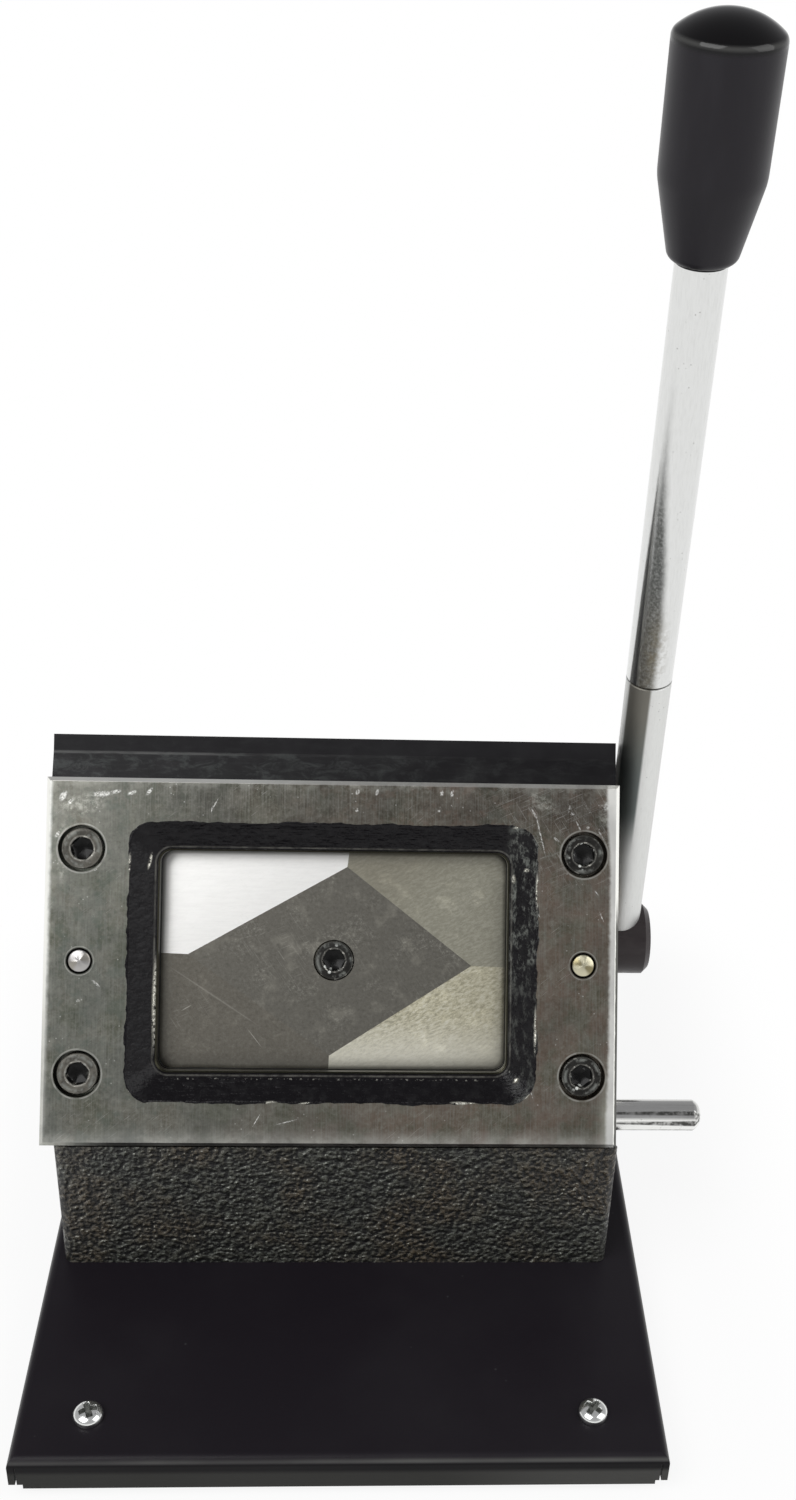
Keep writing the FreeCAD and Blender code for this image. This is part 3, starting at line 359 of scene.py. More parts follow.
@dataclass(frozen=True)
class CrinklePaint:
    """Crinkle paint on cast iron: small glossy lumps with painted shade in the hollows, painted glints and
    faint warm and violet patches.
    """

    name: str = "crinkle_paint"
    crest: Colour = (0.074, 0.075, 0.062)
    # Colour of the painted shade in the hollows and on the lumps' sides away from the lamp.
    hollow_shade: Colour = (0.0022, 0.0021, 0.0020)
    warm: Colour = (0.090, 0.073, 0.050)
    lit: Colour = (0.088, 0.094, 0.080)
    # Colour of the painted glints.
    crest_glint: Colour = (0.46, 0.47, 0.42)
    lump: float = 1.85
    deep: float = 2.0
    gloss: float = 0.17
    to_lamp: tuple[float, float, float] = (-0.24, -0.08, 0.24)

    def lumps(self, r: Recipe, at: Socket) -> Socket:
        """Height of the lumps: warped noise with rounded beads on it."""
        warped = r.noise(at, self.lump, 4, 0.6, 0.35)
        beads = r.less(1.0, r.cells(at, self.lump * 0.62, "SMOOTH_F1"))
        return r.plus(r.times(warped, 0.7), r.times(beads, 0.4))

    def make(self) -> Material:
        """Builds the material. Sides of lumps that face the key lamp, up and to the left, are paler."""
        r = Recipe(self.name)
        at = r.spot()
        height = self.lumps(r, at)
        step = r.add("ShaderNodeVectorMath", {0: at, 1: self.to_lamp}, operation="ADD").outputs[0]
        slope = r.less(height, self.lumps(r, step))
        tops = r.fade(height, 0.48, 0.78)
        patch = r.fade(r.noise(at, 17, 2), 0.42, 0.66)
        # Painted shade in the hollows between the lumps.
        r.colour = r.blend(tops, self.hollow_shade, r.blend(patch, self.crest, self.warm))
        r.coat(r.fade(slope, 0.0, 0.1, 0.0, 0.8), r.blend(patch, self.lit, self.warm))
        # Painted shade on the lumps' sides that face away from the key lamp.
        r.coat(r.fade(slope, 0.0, -0.1, 0.0, 0.75), self.hollow_shade)
        # Painted glints on the lumps' sides that face the key lamp.
        bright = r.times(r.fade(slope, 0.07, 0.13), r.fade(r.noise(at, 0.8, 3, 0.7), 0.5, 0.6))
        r.coat(r.times(bright, r.fade(r.noise(at, 14, 2), 0.36, 0.62, 0.35, 0.95)), self.crest_glint)
        rough = r.level(tops, 0.6, self.gloss)
        normal = r.relief(height, self.deep)
        return r.close(rough, normal, shine=0.5)


@dataclass(frozen=True)
class GroundSteel:
    """Ground steel plate with a film of oil: fine upright grain, brown and green stains, bright nicks, rubbed
    edges, painted highlights and shade.
    """

    name: str = "ground_steel"
    left: Colour = (0.166, 0.173, 0.150)
    right: Colour = (0.176, 0.140, 0.110)
    green: Colour = (0.112, 0.122, 0.086)
    stain: Colour = (0.106, 0.088, 0.064)
    bright: Colour = (0.86, 0.86, 0.82)
    # Colour of the painted shade towards the top of the plate.
    top_shade: Colour = (0.042, 0.040, 0.034)
    # Colour of the painted shade on the window's inner walls.
    throat: Colour = (0.028, 0.027, 0.019)
    lit: Colour = (0.30, 0.30, 0.26)
    fleck: Colour = (0.29, 0.29, 0.25)
    speck: Colour = (0.06, 0.058, 0.048)
    line: Colour = (0.29, 0.295, 0.27)
    # Colour of the edge band, partly rubbed steel and partly painted sheen.
    rub_and_sheen: Colour = (0.44, 0.44, 0.39)
    cool: Colour = (0.125, 0.150, 0.128)
    rosy: Colour = (0.205, 0.152, 0.122)
    veil: Colour = (0.62, 0.62, 0.55)
    glare: Colour = (0.74, 0.76, 0.66)
    # Colour of the painted highlights on the chamfered edges.
    white: Colour = (0.98, 0.98, 0.93)
    # Colour of the painted shadow line down the right edge.
    dark: Colour = (0.03, 0.03, 0.025)
    bore_shade: Colour = (0.008, 0.008, 0.007)
    lip: Colour = (0.5, 0.5, 0.46)
    bore: float = 3.1
    recess: float = 5.98
    bevel: float = 6.8

    def marks(self, r: Recipe, at: Socket, x: Socket, y: Socket) -> Socket:
        """Nicks along the top, arcs of scratches at the top right and a few loose hairs elsewhere."""
        spots = (
            (5.3, 42.0, 0.75, 0.5, 70), (10.1, 42.0, 0.95, 0.45, 78), (5.2, 37.4, 0.45, 0.35, 0),
            (26.0, 42.0, 0.8, 0.5, 85), (28.6, 42.0, 0.95, 0.45, 80), (25.4, 37.6, 0.4, 0.3, 0),
            (-56.8, 40.6, 2.6, 0.75, 4), (-53.6, 41.2, 1.4, 0.5, 10), (-49.6, 41.0, 1.3, 0.5, 24),
            (-45.4, 41.4, 1.2, 0.5, 50), (-66.2, 40.0, 1.5, 0.8, 60), (-64.4, 38.6, 1.0, 0.5, 50),
            (50.6, 32.0, 5.5, 0.2, -76), (49.0, 37.2, 1.7, 0.3, -60), (57.6, 38.6, 1.0, 0.3, 80),
            (67.0, 39.4, 1.5, 0.8, 60), (60.0, 34.4, 1.5, 0.2, -62), (65.6, 32.2, 1.6, 0.2, -60),
            (62.4, 34.0, 0.5, 0.4, 0), (54.5, 31.0, 1.0, 0.3, -40), (58.4, 37.4, 0.6, 0.4, 0),
            (66.0, 12.0, 1.5, 0.16, -66), (64.6, 18.0, 0.9, 0.16, -50), (50.2, 12.6, 1.4, 0.16, -58),
            (-29.5, 38.4, 1.8, 0.16, 62), (-30.2, 37.2, 0.9, 0.14, 82), (-57.4, -5.4, 1.3, 0.35, -40),
            (-61.6, -9.6, 0.5, 0.4, 0), (-58.0, 22.2, 0.5, 0.3, 30), (-67.4, 30.6, 0.9, 0.5, 60),
            (-10.6, -38.6, 3.0, 0.16, 14), (-18.0, -38.2, 2.0, 0.13, 60), (48.6, -30.0, 3.0, 0.2, -72),
        )
        chips = r.nicks(at, spots)
        corner = r.times(r.fade(x, 28, 46), r.fade(y, 10, 26))
        arcs = r.largest(r.hairs(at, -58, 0.07, 44, 0.72), r.hairs(at, 24, 0.06, 40, 0.74))
        loose = r.times(r.hairs(at, 38, 0.07, 34, 0.74), r.fade(r.noise(at, 16, 1), 0.52, 0.62))
        dots = r.times(r.fade(r.cells(at, 1.6), 0.14, 0.06), r.fade(r.noise(at, 7, 1), 0.5, 0.62))
        torn = r.fade(r.noise(at, 0.55, 4, 0.8), 0.42, 0.56, 0.05, 1.0)
        return r.largest(r.times(chips, torn), r.times(r.times(arcs, corner), 0.24),
                         r.times(loose, 0.22), r.times(dots, 0.42))

    def make(self) -> Material:
        """Builds the material."""
        r = Recipe(self.name)
        at = r.spot(DIE)
        x, y, z = r.split(at)
        blotch = r.noise(at, 15, 5, 0.6)
        fine = r.noise(at, 1.1, 5, 0.78)
        grain = r.noise(r.spot(DIE, (1, 30, 1)), 0.42, 2, 0.6)
        r.colour = r.blend(r.fade(x, -58, 34), self.left, self.right)
        r.coat(r.fade(r.noise(at, 11, 3, 0.6), 0.46, 0.62, 0, 0.6), self.green)
        # Painted shade, darker towards the top of the plate.
        r.coat(r.fade(y, 18, 40, 0, 0.5), self.top_shade)
        lit = r.times(r.fade(x, -30, -66), r.fade(y, 6, 33))
        r.coat(r.times(lit, 0.55), self.lit)
        r.coat(r.fade(blotch, 0.45, 0.7, 0, 0.5), self.stain)
        r.coat(r.fade(fine, 0.46, 0.68, 0.0, 0.42), self.fleck)
        r.coat(r.fade(fine, 0.5, 0.3, 0.0, 0.42), self.speck)
        r.coat(r.fade(grain, 0.42, 0.68, 0.0, 0.28), self.line)
        edge = r.ring(x, y, PLATE_HALF, CARD_CORNER)
        # A band along the plate's edges, partly rubbed steel and partly painted sheen.
        ragged = r.fade(r.noise(at, 4.2, 4, 0.65), 0.4, 0.62)
        rubbed = r.times(r.fade(edge, -4.2, -0.6, 0.0, 0.5), ragged)
        r.coat(rubbed, self.rub_and_sheen)
        tint = r.blend(r.fade(x, -58, 34), self.cool, self.rosy)
        r.coat(r.fade(r.noise(at, 4.5, 3, 0.7), 0.5, 0.64, 0, 0.4), tint)
        haze = r.nicks(at, ((-61.5, 38.0, 7.0, 3.0, 12), (66.6, 37.6, 2.0, 3.6, 0),
                            (-66.0, 26.0, 1.6, 8.0, 0), (51.0, 40.0, 5.0, 2.0, -30)))
        haze = r.times(haze, r.fade(r.noise(at, 1.6, 5, 0.8), 0.42, 0.66, 0.0, 0.6))
        r.coat(haze, self.veil)
        marks = self.marks(r, at, x, y)
        r.coat(marks, self.bright)
        wide, tall = PLATE_HALF
        # Painted highlights along the chamfered edges, widest down the right, and a painted glare near the
        # lower right corner.
        uneven = r.times(r.less(r.noise(at, 2.2, 3, 0.6), 0.5), 0.8)
        flare = r.plus(r.fade(y, -18, -42, 0.0, 0.5), r.fade(y, 22, 40, 0.0, 0.9))
        right_edge = r.fade(r.plus(r.plus(x, uneven), flare), wide - 2.75, wide - 1.65)
        glow = r.times(r.fade(x, wide - 5.75, wide - 0.45), r.fade(y, -22, -40, 0.0, 0.8))
        left_edge = r.fade(r.plus(x, uneven), 1.85 - wide, 0.55 - wide)
        left_edge = r.times(left_edge, r.fade(y, -40, 10, 0.35, 0.95))
        low_edge = r.fade(r.plus(y, uneven), 5.15 - tall, 0.25 - tall, 0.0, 0.2)
        top_edge = r.times(r.fade(y, tall - 1.15, tall - 0.75), r.fade(x, 20, -30, 0.45, 0.85))
        r.coat(glow, self.glare)
        r.coat(r.largest(right_edge, left_edge, low_edge, top_edge), self.white)
        # Painted shadow: a thin dark line down the plate's right edge.
        edge_shadow = r.fade(r.plus(x, r.times(uneven, 0.4)), wide - 0.75, wide - 0.55)
        r.coat(r.times(edge_shadow, r.fade(y, 18, 8, 0.0, 0.9)), self.dark)
        from_dowel = r.spread(r.less(r.size(x), SCREW_SPOT[0]), y)
        # Painted shade inside the dowel bores.
        r.coat(r.fade(from_dowel, self.bore + 0.2, self.bore), self.bore_shade)
        rims = r.largest(r.band(r.from_screws(x, y), self.recess, 0.3),
                         r.band(from_dowel, self.bore + 0.4, 0.2))
        r.coat(r.times(rims, r.fade(r.noise(at, 2.5, 2), 0.3, 0.6, 0.2, 0.8)), self.lip)
        # Painted shade on the window's inner walls.
        inside = r.fade(z, -0.6, -1.2)
        past = r.ring(x, y, WINDOW_HALF, CARD_CORNER)
        r.coat(r.times(inside, r.fade(past, self.bevel + 0.6, self.bevel + 0.1)), self.throat)
        rough = r.fade(blotch, 0.3, 0.7, 0.27, 0.4)
        height = r.less(r.times(grain, 0.5), r.times(marks, 0.25))
        normal = r.relief(height, 0.02, 0.6)
        return r.close(rough, normal, metal=1.0)


@dataclass(frozen=True)
class ShearGround:
    """Punch steel: each ground facet has its own tone, a painted reflection picked by the way the facet
    leans.
    """

    name: str = "punch_steel"
    # Tones of the flat middle and of each facet: painted reflections of the light each would catch.
    middle: Colour = (0.164, 0.156, 0.135)
    upper_left: Colour = (0.93, 0.925, 0.9)
    upper_right: Colour = (0.395, 0.382, 0.305)
    lower_right: Colour = (0.70, 0.66, 0.48)
    lower_left: Colour = (0.166, 0.154, 0.130)
    dusty: Colour = (0.42, 0.41, 0.36)
    pore: Colour = (0.05, 0.048, 0.04)
    patch: Colour = (0.27, 0.26, 0.22)
    spark: Colour = (0.95, 0.93, 0.8)
    thin_dust: Colour = (0.36, 0.36, 0.31)
    thin_pore: Colour = (0.045, 0.043, 0.036)
    gleam: Colour = (0.98, 0.96, 0.84)
    straw: Colour = (0.40, 0.37, 0.27)
    brown: Colour = (0.2, 0.175, 0.13)
    scratch: Colour = (0.62, 0.6, 0.54)
    # Colours of the painted grey band near the rim and of the painted shade at the rim.
    halo: Colour = (0.36, 0.355, 0.31)
    edge: Colour = (0.05, 0.047, 0.033)

    def make(self) -> Material:
        """Builds the material. A facet is picked by the way its surface leans from the flat middle."""
        r = Recipe(self.name)
        at = r.spot(DIE)
        x, y, _ = r.split(at)
        leaning = r.add("ShaderNodeVectorRotate", {
            "Vector": r.add("ShaderNodeTexCoord", {}).outputs["Normal"], "Center": (0, 0, 0),
            "Axis": (1, 0, 0), "Angle": -math.radians(DIE.turn),
        }, rotation_type="AXIS_ANGLE").outputs[0]
        east, north, _ = r.split(leaning)
        slant = r.add("ShaderNodeMapping", {
            "Vector": at, "Rotation": (0, 0, math.radians(24)), "Scale": (2.6, 1, 1),
        }, vector_type="TEXTURE").outputs["Vector"]
        speck, dust = r.noise(slant, 0.6, 4, 0.8), r.noise(at, 0.9, 5, 0.85)
        pale, dark = r.fade(speck, 0.48, 0.64), r.fade(speck, 0.52, 0.36)
        light_dust, dark_dust = r.fade(dust, 0.5, 0.66), r.fade(dust, 0.5, 0.34)
        worn = r.fade(r.noise(at, 6, 4, 0.65), 0.5, 0.7)
        low = r.fade(y, -12, -26)
        # Painted reflections: each facet's tone, its share of pale sparks and dark specks, and a painted
        # highlight lower down on the lower right facet.
        facet_reflections = ((self.upper_left, -1, 1, 0.0, 0.04), (self.upper_right, 1, 1, 0.14, 0.22),
                 (self.lower_right, 1, -1, 0.7, 0.6), (self.lower_left, -1, -1, 0.0, 0.0))
        patchy = r.fade(r.noise(at, 9, 3, 0.6), 0.45, 0.66, 0.14, 0.62)
        r.colour = r.blend(r.times(light_dust, patchy), self.middle, self.dusty)
        r.coat(r.times(dark_dust, 0.34), self.pore)
        r.coat(r.times(worn, 0.2), self.patch)
        for tone, dx, dy, light, deep in facet_reflections:
            ground = r.blend(r.times(pale, light), tone, self.spark)
            ground = r.blend(r.times(dark, deep), ground, tuple(0.35 * c for c in tone))
            if dx + dy < 0:
                ground = r.blend(r.times(light_dust, 0.24), ground, self.thin_dust)
                ground = r.blend(r.times(dark_dust, 0.34), ground, self.thin_pore)
            if dx > dy:
                ground = r.blend(r.times(low, 0.7), ground, self.gleam)
                ground = r.blend(r.fade(x, 20, 42, 0.0, 0.25), ground, self.straw)
            if dx * dy > 0 and dx > 0:
                ground = r.blend(r.fade(r.less(x, y), 16, -12, 0.0, 0.4), ground, self.brown)
            side = r.sum("MINIMUM", r.times(east, dx), r.times(north, dy))
            facet = r.fade(side, 0.008, 0.012)
            r.coat(facet, ground)
            if dx < dy:
                sheen = facet
        cross = r.noise(r.spot(DIE, (9, 1, 1)), 0.6, 2, 0.6)
        r.coat(r.fade(cross, 0.3, 0.75, 0.0, 0.05), self.pore)
        hairs = r.times(r.largest(r.hairs(at, -55, 0.07, 44, 0.72), r.hairs(at, 22, 0.07, 30, 0.74)),
                        r.fade(r.noise(at, 18, 1), 0.48, 0.6))
        left = r.nick(at, -36.5, -12.2, (1.6, 0.14), 30)
        low_marks = r.nick(at, -19.5, -19.5, (3.4, 0.12), -52)
        streak = r.nick(at, -30, -9.0, (16.0, 0.25), -33)
        r.coat(r.largest(r.times(hairs, 0.2), r.times(left, 0.6), r.times(low_marks, 0.5),
                         r.times(streak, 0.18)), self.scratch)
        rim = r.ring(x, y, PUNCH_HALF, CARD_CORNER)
        # Painted light and shade at the rim: a grey band that evens the facets' tones, then painted shade
        # right at the rim.
        r.coat(r.fade(rim, -4.5, -0.8, 0.0, 0.2), self.halo)
        r.coat(r.fade(rim, -1.1, -0.1, 0.0, 0.6), self.edge)
        normal = r.relief(r.plus(r.times(speck, 0.7), r.times(cross, 0.14)), 0.02, 0.6)
        return r.close(r.level(sheen, r.fade(worn, 0, 1, 0.36, 0.46), 0.36), normal, metal=1.0)


@dataclass(frozen=True)
class BrushedPaint:
    """Black paint put on by brush round the card window: glossy, streaked and lumpy, with painted glints at
    the right.
    """

    name: str = "window_paint"
    colour: Colour = (0.0044, 0.0038, 0.0048)
    thin: Colour = (0.012, 0.0115, 0.0125)
    bare: Colour = (0.5, 0.49, 0.43)
    # Colour of the painted glints on the right side.
    smear: Colour = (0.18, 0.19, 0.172)

    def make(self) -> Material:
        """Builds the material."""
        r = Recipe(self.name)
        at = r.spot(DIE)
        x, y, _ = r.split(at)
        lumps = r.noise(at, 2.0, 4, 0.62)
        streaks = r.noise(r.spot(DIE, (7, 1, 1)), 0.7, 2, 0.6)
        r.colour = r.blend(r.fade(lumps, 0.44, 0.75, 0, 0.8), self.colour, self.thin)
        # Painted glints on the glossy lumps down the right side of the window.
        rubbed = r.fade(r.noise(r.spot(DIE, (1, 2.0, 1)), 2.6, 6, 0.8, 0.1), 0.48, 0.66)
        smears = r.times(rubbed, r.times(r.fade(x, 42, 45), r.fade(y, -8, 4, 0.35, 1.0)))
        r.coat(r.times(smears, 0.85), self.smear)
        past = r.ring(x, y, WINDOW_HALF, CARD_CORNER)
        line = r.times(r.band(past, 0.95, 0.35), r.fade(r.noise(at, 3.5, 4, 0.7), 0.36, 0.62, 0.05, 0.17))
        low = r.times(r.fade(y, -26, -27), r.fade(r.noise(at, 1.2, 4, 0.7), 0.54, 0.62))
        line = r.sum("MAXIMUM", line, r.times(r.band(past, 1.7, 0.3), r.times(low, 0.4)))
        chips = r.nicks(at, (
            (-43.75, -10.5, 12.0, 0.62, 90), (-50.1, 23.0, 3.4, 0.5, 84), (-45.3, 24.4, 2.2, 0.4, 78),
            (-14.6, -34.1, 1.8, 0.6, 0), (-49.3, -31.6, 2.2, 0.5, -50), (45.4, -28.6, 0.9, 0.5, 40),
            (47.4, 23.3, 0.7, 0.5, 0), (44.4, 21.0, 0.5, 1.2, 0), (49.9, 18.0, 0.4, 5.0, 0),
            (49.8, -16.0, 0.35, 6.0, 0), (48.4, -32.2, 2.4, 0.5, 45), (33.0, -34.0, 4.0, 0.45, -4),
            (-6.4, -34.0, 1.6, 0.2, 4), (46.0, 34.0, 2.4, 0.35, 8),
        ))
        chips = r.times(chips, r.fade(r.noise(at, 1.1, 3, 0.7), 0.36, 0.5))
        r.coat(r.largest(line, chips), self.bare)
        height = r.plus(r.times(lumps, 0.7), r.times(streaks, 0.3))
        height = r.less(height, r.times(chips, 0.4))
        normal = r.relief(height, 0.42, 0.9)
        return r.close(r.fade(lumps, 0.3, 0.7, 0.12, 0.26), normal, metal=r.fade(chips, 0, 1, 0, 0.9),
                       shine=0.16)


@dataclass(frozen=True)
class BlackOxide:
    """Blackened steel with a soft shine, dusty patches, and edges partly rubbed bright and partly painted
    highlights.
    """

    name: str
    axes: Axes = WHOLE
    colour: Colour = (0.022, 0.021, 0.022)
    rubbed: Colour = (0.09, 0.088, 0.082)
    gloss: float = 0.34
    grain: tuple[float, float, float] = (1, 1, 1)
    wear: Wear = Wear.NONE
    shine: float = 0.26
    # Colour of the thin line along the top edge, partly worn and partly painted highlight.
    bent: Colour = (0.2, 0.2, 0.195)
    dust: Colour = (0.056, 0.062, 0.06)
    top: Colour = (0.0120, 0.0114, 0.0128)
    # Colour of the paler heads.
    pale_head: Colour = (0.125, 0.118, 0.1)
    # Colour of the rims, partly rubbed steel and partly painted glints.
    bright: Colour = (0.5, 0.49, 0.44)
    # Colour of the painted highlight arcs on the heads' outer ring.
    head_arc_highlight: Colour = (0.24, 0.25, 0.23)
    glint: Colour = (0.7, 0.72, 0.68)
    lean: float = 51.2

    def make(self) -> Material:
        """Builds the material."""
        r = Recipe(self.name)
        at = r.spot(self.axes)
        patch = r.noise(at, 8, 4, 0.6)
        lines = r.noise(r.spot(self.axes, self.grain), 0.8, 3, 0.6)
        r.colour = r.blend(r.fade(patch, 0.45, 0.72, 0, 0.5), self.colour, self.rubbed)
        r.coat(r.fade(lines, 0.5, 0.8, 0, 0.35), self.rubbed)
        x, y, _ = r.split(at)
        if self.wear is Wear.TOP_EDGE:
            # A thin pale line along the edge, partly worn and partly painted highlight, stronger to the left.
            bend = r.times(r.fade(y, self.lean - 0.4, self.lean), r.fade(y, self.lean + 0.8, self.lean + 0.3))
            broken = r.fade(r.noise(r.spot(self.axes, (5, 1, 1)), 2.4, 3, 0.6), 0.4, 0.62, 0.05, 0.3)
            broken = r.times(broken, r.fade(x, 0, -46, 0.08, 1.0))
            r.coat(r.times(bend, broken), self.bent)
            dusty = r.fade(r.noise(r.spot(self.axes, (2.2, 1, 1)), 2.6, 5, 0.75, 0.6), 0.45, 0.68)
            dusty = r.times(dusty, r.fade(x, 64, -40, 0.1, 0.5))
            r.coat(dusty, self.dust)
            r.coat(r.fade(y, self.lean, self.lean + 0.8, 0, 0.85), self.top)
        elif self.wear is Wear.SOCKET_RIMS:
            off = r.sum("MINIMUM", r.from_screws(x, y), r.spread(x, y))
            # The heads' face round the socket is paler on the left heads than on the right ones.
            pale = r.times(r.fade(off, 2.6, 3.0), r.fade(x, -40, -50, 0.12, 1.0))
            r.coat(r.times(pale, r.fade(r.noise(at, 1.6, 4, 0.7), 0.36, 0.6, 0.45, 0.9)), self.pale_head)
            # Bright rims round the sockets and heads, partly rubbed steel and partly painted glints.
            broken = r.fade(r.noise(at, 1.3, 4, 0.8), 0.55, 0.62, r.fade(x, -40, -50, 0.15, 0.3), 1.0)
            rims = r.largest(r.band(off, 2.95, 0.34), r.times(r.band(off, 4.75, 0.22), 0.6))
            r.coat(r.times(rims, broken), self.bright)
            # Painted highlights in arcs on the heads' outer ring.
            arcs = r.times(r.band(off, 4.1, 0.7), r.fade(r.noise(at, 2.6, 3, 0.6), 0.46, 0.6, 0.0, 0.6))
            r.coat(arcs, self.head_arc_highlight)
            glint = r.times(r.fade(r.cells(at, 2.0), 0.26, 0.14), r.fade(x, -50, -40, 0.2, 0.9))
            r.coat(r.times(glint, r.band(off, 2.9, 1.5)), self.glint)
        rough = r.fade(patch, 0.3, 0.7, self.gloss - 0.05, self.gloss + 0.12)
        normal = r.relief(lines, 0.03, 0.5)
        return r.close(rough, normal, metal=0.15, shine=self.shine)


@dataclass(frozen=True)
class BrightMetal:
    """Plated or polished metal: faint lines along its length, small pits and slightly uneven shine."""

    name: str
    axes: Axes = WHOLE
    colour: Colour = (0.80, 0.80, 0.785)
    dull: Colour = (0.55, 0.55, 0.52)
    gloss: float = 0.14
    grain: tuple[float, float, float] = (1, 1, 9)
    pits: float = 0.3
    pit: Colour = (0.2, 0.19, 0.16)

    def make(self) -> Material:
        """Builds the material."""
        r = Recipe(self.name)
        at = r.spot(self.axes)
        cloud = r.noise(at, 7, 3, 0.6)
        lines = r.noise(r.spot(self.axes, self.grain), 0.45, 3, 0.6)
        pitted = r.times(r.fade(r.cells(at, 1.5), 0.22, 0.1), r.fade(r.noise(at, 4, 2), 0.46, 0.62))
        r.colour = r.blend(r.fade(cloud, 0.4, 0.75, 0, 0.3), self.colour, self.dull)
        r.coat(r.times(pitted, self.pits), self.pit)
        rough = r.plus(r.fade(cloud, 0.3, 0.7, self.gloss - 0.03, self.gloss + 0.08),
                      r.times(pitted, 0.2))
        height = r.less(r.times(lines, 0.4), r.times(pitted, 0.6))
        normal = r.relief(height, 0.012, 0.5)
        return r.close(rough, normal, metal=1.0)


@dataclass(frozen=True)
class DowelEnd:
    """Hand ground ends of the dowel pins: grey on the left, a painted brassy reflection on the right, painted
    shadow at the rims.
    """

    name: str = "dowel_steel"
    grey: Colour = (0.44, 0.43, 0.42)
    brassy_reflection: Colour = (0.58, 0.55, 0.40)
    # Colour of the painted dark reflections in the wedges.
    dark: Colour = (0.17, 0.135, 0.05)
    # Colour of the painted shadow at the rims.
    rim: Colour = (0.006, 0.006, 0.005)

    def make(self) -> Material:
        """Builds the material. Two darker wedges lie across each end, where a sine of the angle is near 0."""
        r = Recipe(self.name)
        x, y, _ = r.split(r.spot(DIE))
        across = r.less(r.size(x), SCREW_SPOT[0])
        off = r.spread(across, y)
        wave = r.sum("SINE", r.plus(r.sum("ARCTAN2", y, across), 0.5))
        wedge = r.times(r.fade(r.size(wave), 0.75, 0.2), r.fade(off, 0.1, 0.9))
        right = r.fade(x, -1, 1)
        r.colour = r.blend(right, self.grey, self.brassy_reflection)
        # Painted dark reflections in the wedges.
        r.coat(r.times(wedge, r.level(right, 0.35, 0.75)), self.dark)
        # Painted shadow in the gap round each end.
        r.coat(r.fade(off, 2.45, 2.75), self.rim)
        return r.close(0.34, metal=1.0)


@dataclass(frozen=True)
class LeverRod:
    """Old hard chrome: upper rod's front streak partly soot, partly painted dark reflection; stains above the
    joint; a dull lower rod.
    """

    name: str = "rod_chrome"
    colour: Colour = (0.74, 0.745, 0.735)
    dull: Colour = (0.73, 0.735, 0.72)
    soot_and_reflection: Colour = (0.062, 0.065, 0.06)
    stain: Colour = (0.19, 0.165, 0.115)
    joint: float = 90.7
    mist: Colour = (0.42, 0.42, 0.4)
    soot_and_reflection_low: Colour = (0.105, 0.094, 0.07)
    # Colours of the painted dark reflection on the lower rod, higher up and lower down.
    band_high: Colour = (0.115, 0.135, 0.13)
    band_low: Colour = (0.15, 0.14, 0.115)
    pit: Colour = (0.12, 0.115, 0.1)
    crack: Colour = (0.02, 0.018, 0.014)

    def make(self) -> Material:
        """Builds the material. Facing is the angle round the rod, in degrees, from straight ahead."""
        r = Recipe(self.name)
        at = r.spot(LEVER)
        x, y, z = r.split(at)
        facing = r.sum("DEGREES", r.sum("ARCTAN2", x, r.times(y, -1.0)))
        cloud = r.noise(r.spot(LEVER, (1, 1, 3)), 5, 4, 0.65)
        fine = r.noise(r.spot(LEVER, (1, 1, 6)), 0.5, 3, 0.7)
        above = r.fade(z, self.joint - 0.05, self.joint + 0.05)
        r.colour = r.blend(above, self.dull, self.colour)
        r.coat(r.fade(fine, 0.42, 0.7, 0, 0.12), self.mist)
        # A dark streak down the upper rod's front, partly soot and partly painted dark reflection.
        wander = r.plus(facing, r.times(r.less(cloud, 0.5), 12.0))
        middle, half = r.fade(z, 108, 164, 20, 40), r.fade(z, 108, 166, 24, 6)
        core = r.less(half, r.size(r.plus(wander, middle)))
        streak = r.times(r.fade(core, -10, 12), r.fade(z, 132, 180, 0.96, 0.0))
        grime = r.fade(r.noise(at, 0.7, 4, 0.8), 0.34, 0.6, 0.74, 1.0)
        soot_and_reflection = r.blend(r.fade(z, 126, 98, 0.0, 0.7), self.soot_and_reflection, self.soot_and_reflection_low)
        r.coat(r.times(r.times(streak, grime), above), soot_and_reflection)
        # Painted dark reflection in a band down the lower rod's front left.
        lower_dark_reflection = r.less(32.0, r.size(r.plus(facing, 33.0)))
        lower_dark_reflection = r.times(r.fade(lower_dark_reflection, -3, 5, 0.0, 0.9), r.fade(z, 34, 52))
        lower_dark_reflection = r.times(lower_dark_reflection, r.less(1.0, above))
        r.coat(lower_dark_reflection, r.blend(r.fade(z, 60, 86), self.band_high, self.band_low))
        belt = r.times(r.band(z, 101.0, 15.0), r.band(facing, -4.0, 44.0))
        patches = r.fade(r.noise(at, 2.4, 4, 0.7), 0.42, 0.62, 0.0, 0.6)
        r.coat(r.times(belt, patches), self.stain)
        pits = r.times(r.fade(r.cells(at, 1.3), 0.16, 0.08), r.fade(r.noise(at, 5, 2), 0.52, 0.64))
        r.coat(r.times(pits, 0.5), self.pit)
        seam = r.band(z, self.joint, 0.42)
        r.coat(seam, self.crack)
        rough = r.largest(r.level(above, 0.52, 0.17), r.times(seam, 0.7), r.times(streak, 0.3))
        normal = r.relief(r.less(r.times(fine, 0.4), pits), 0.012, 0.5)
        return r.close(rough, normal, metal=1.0)


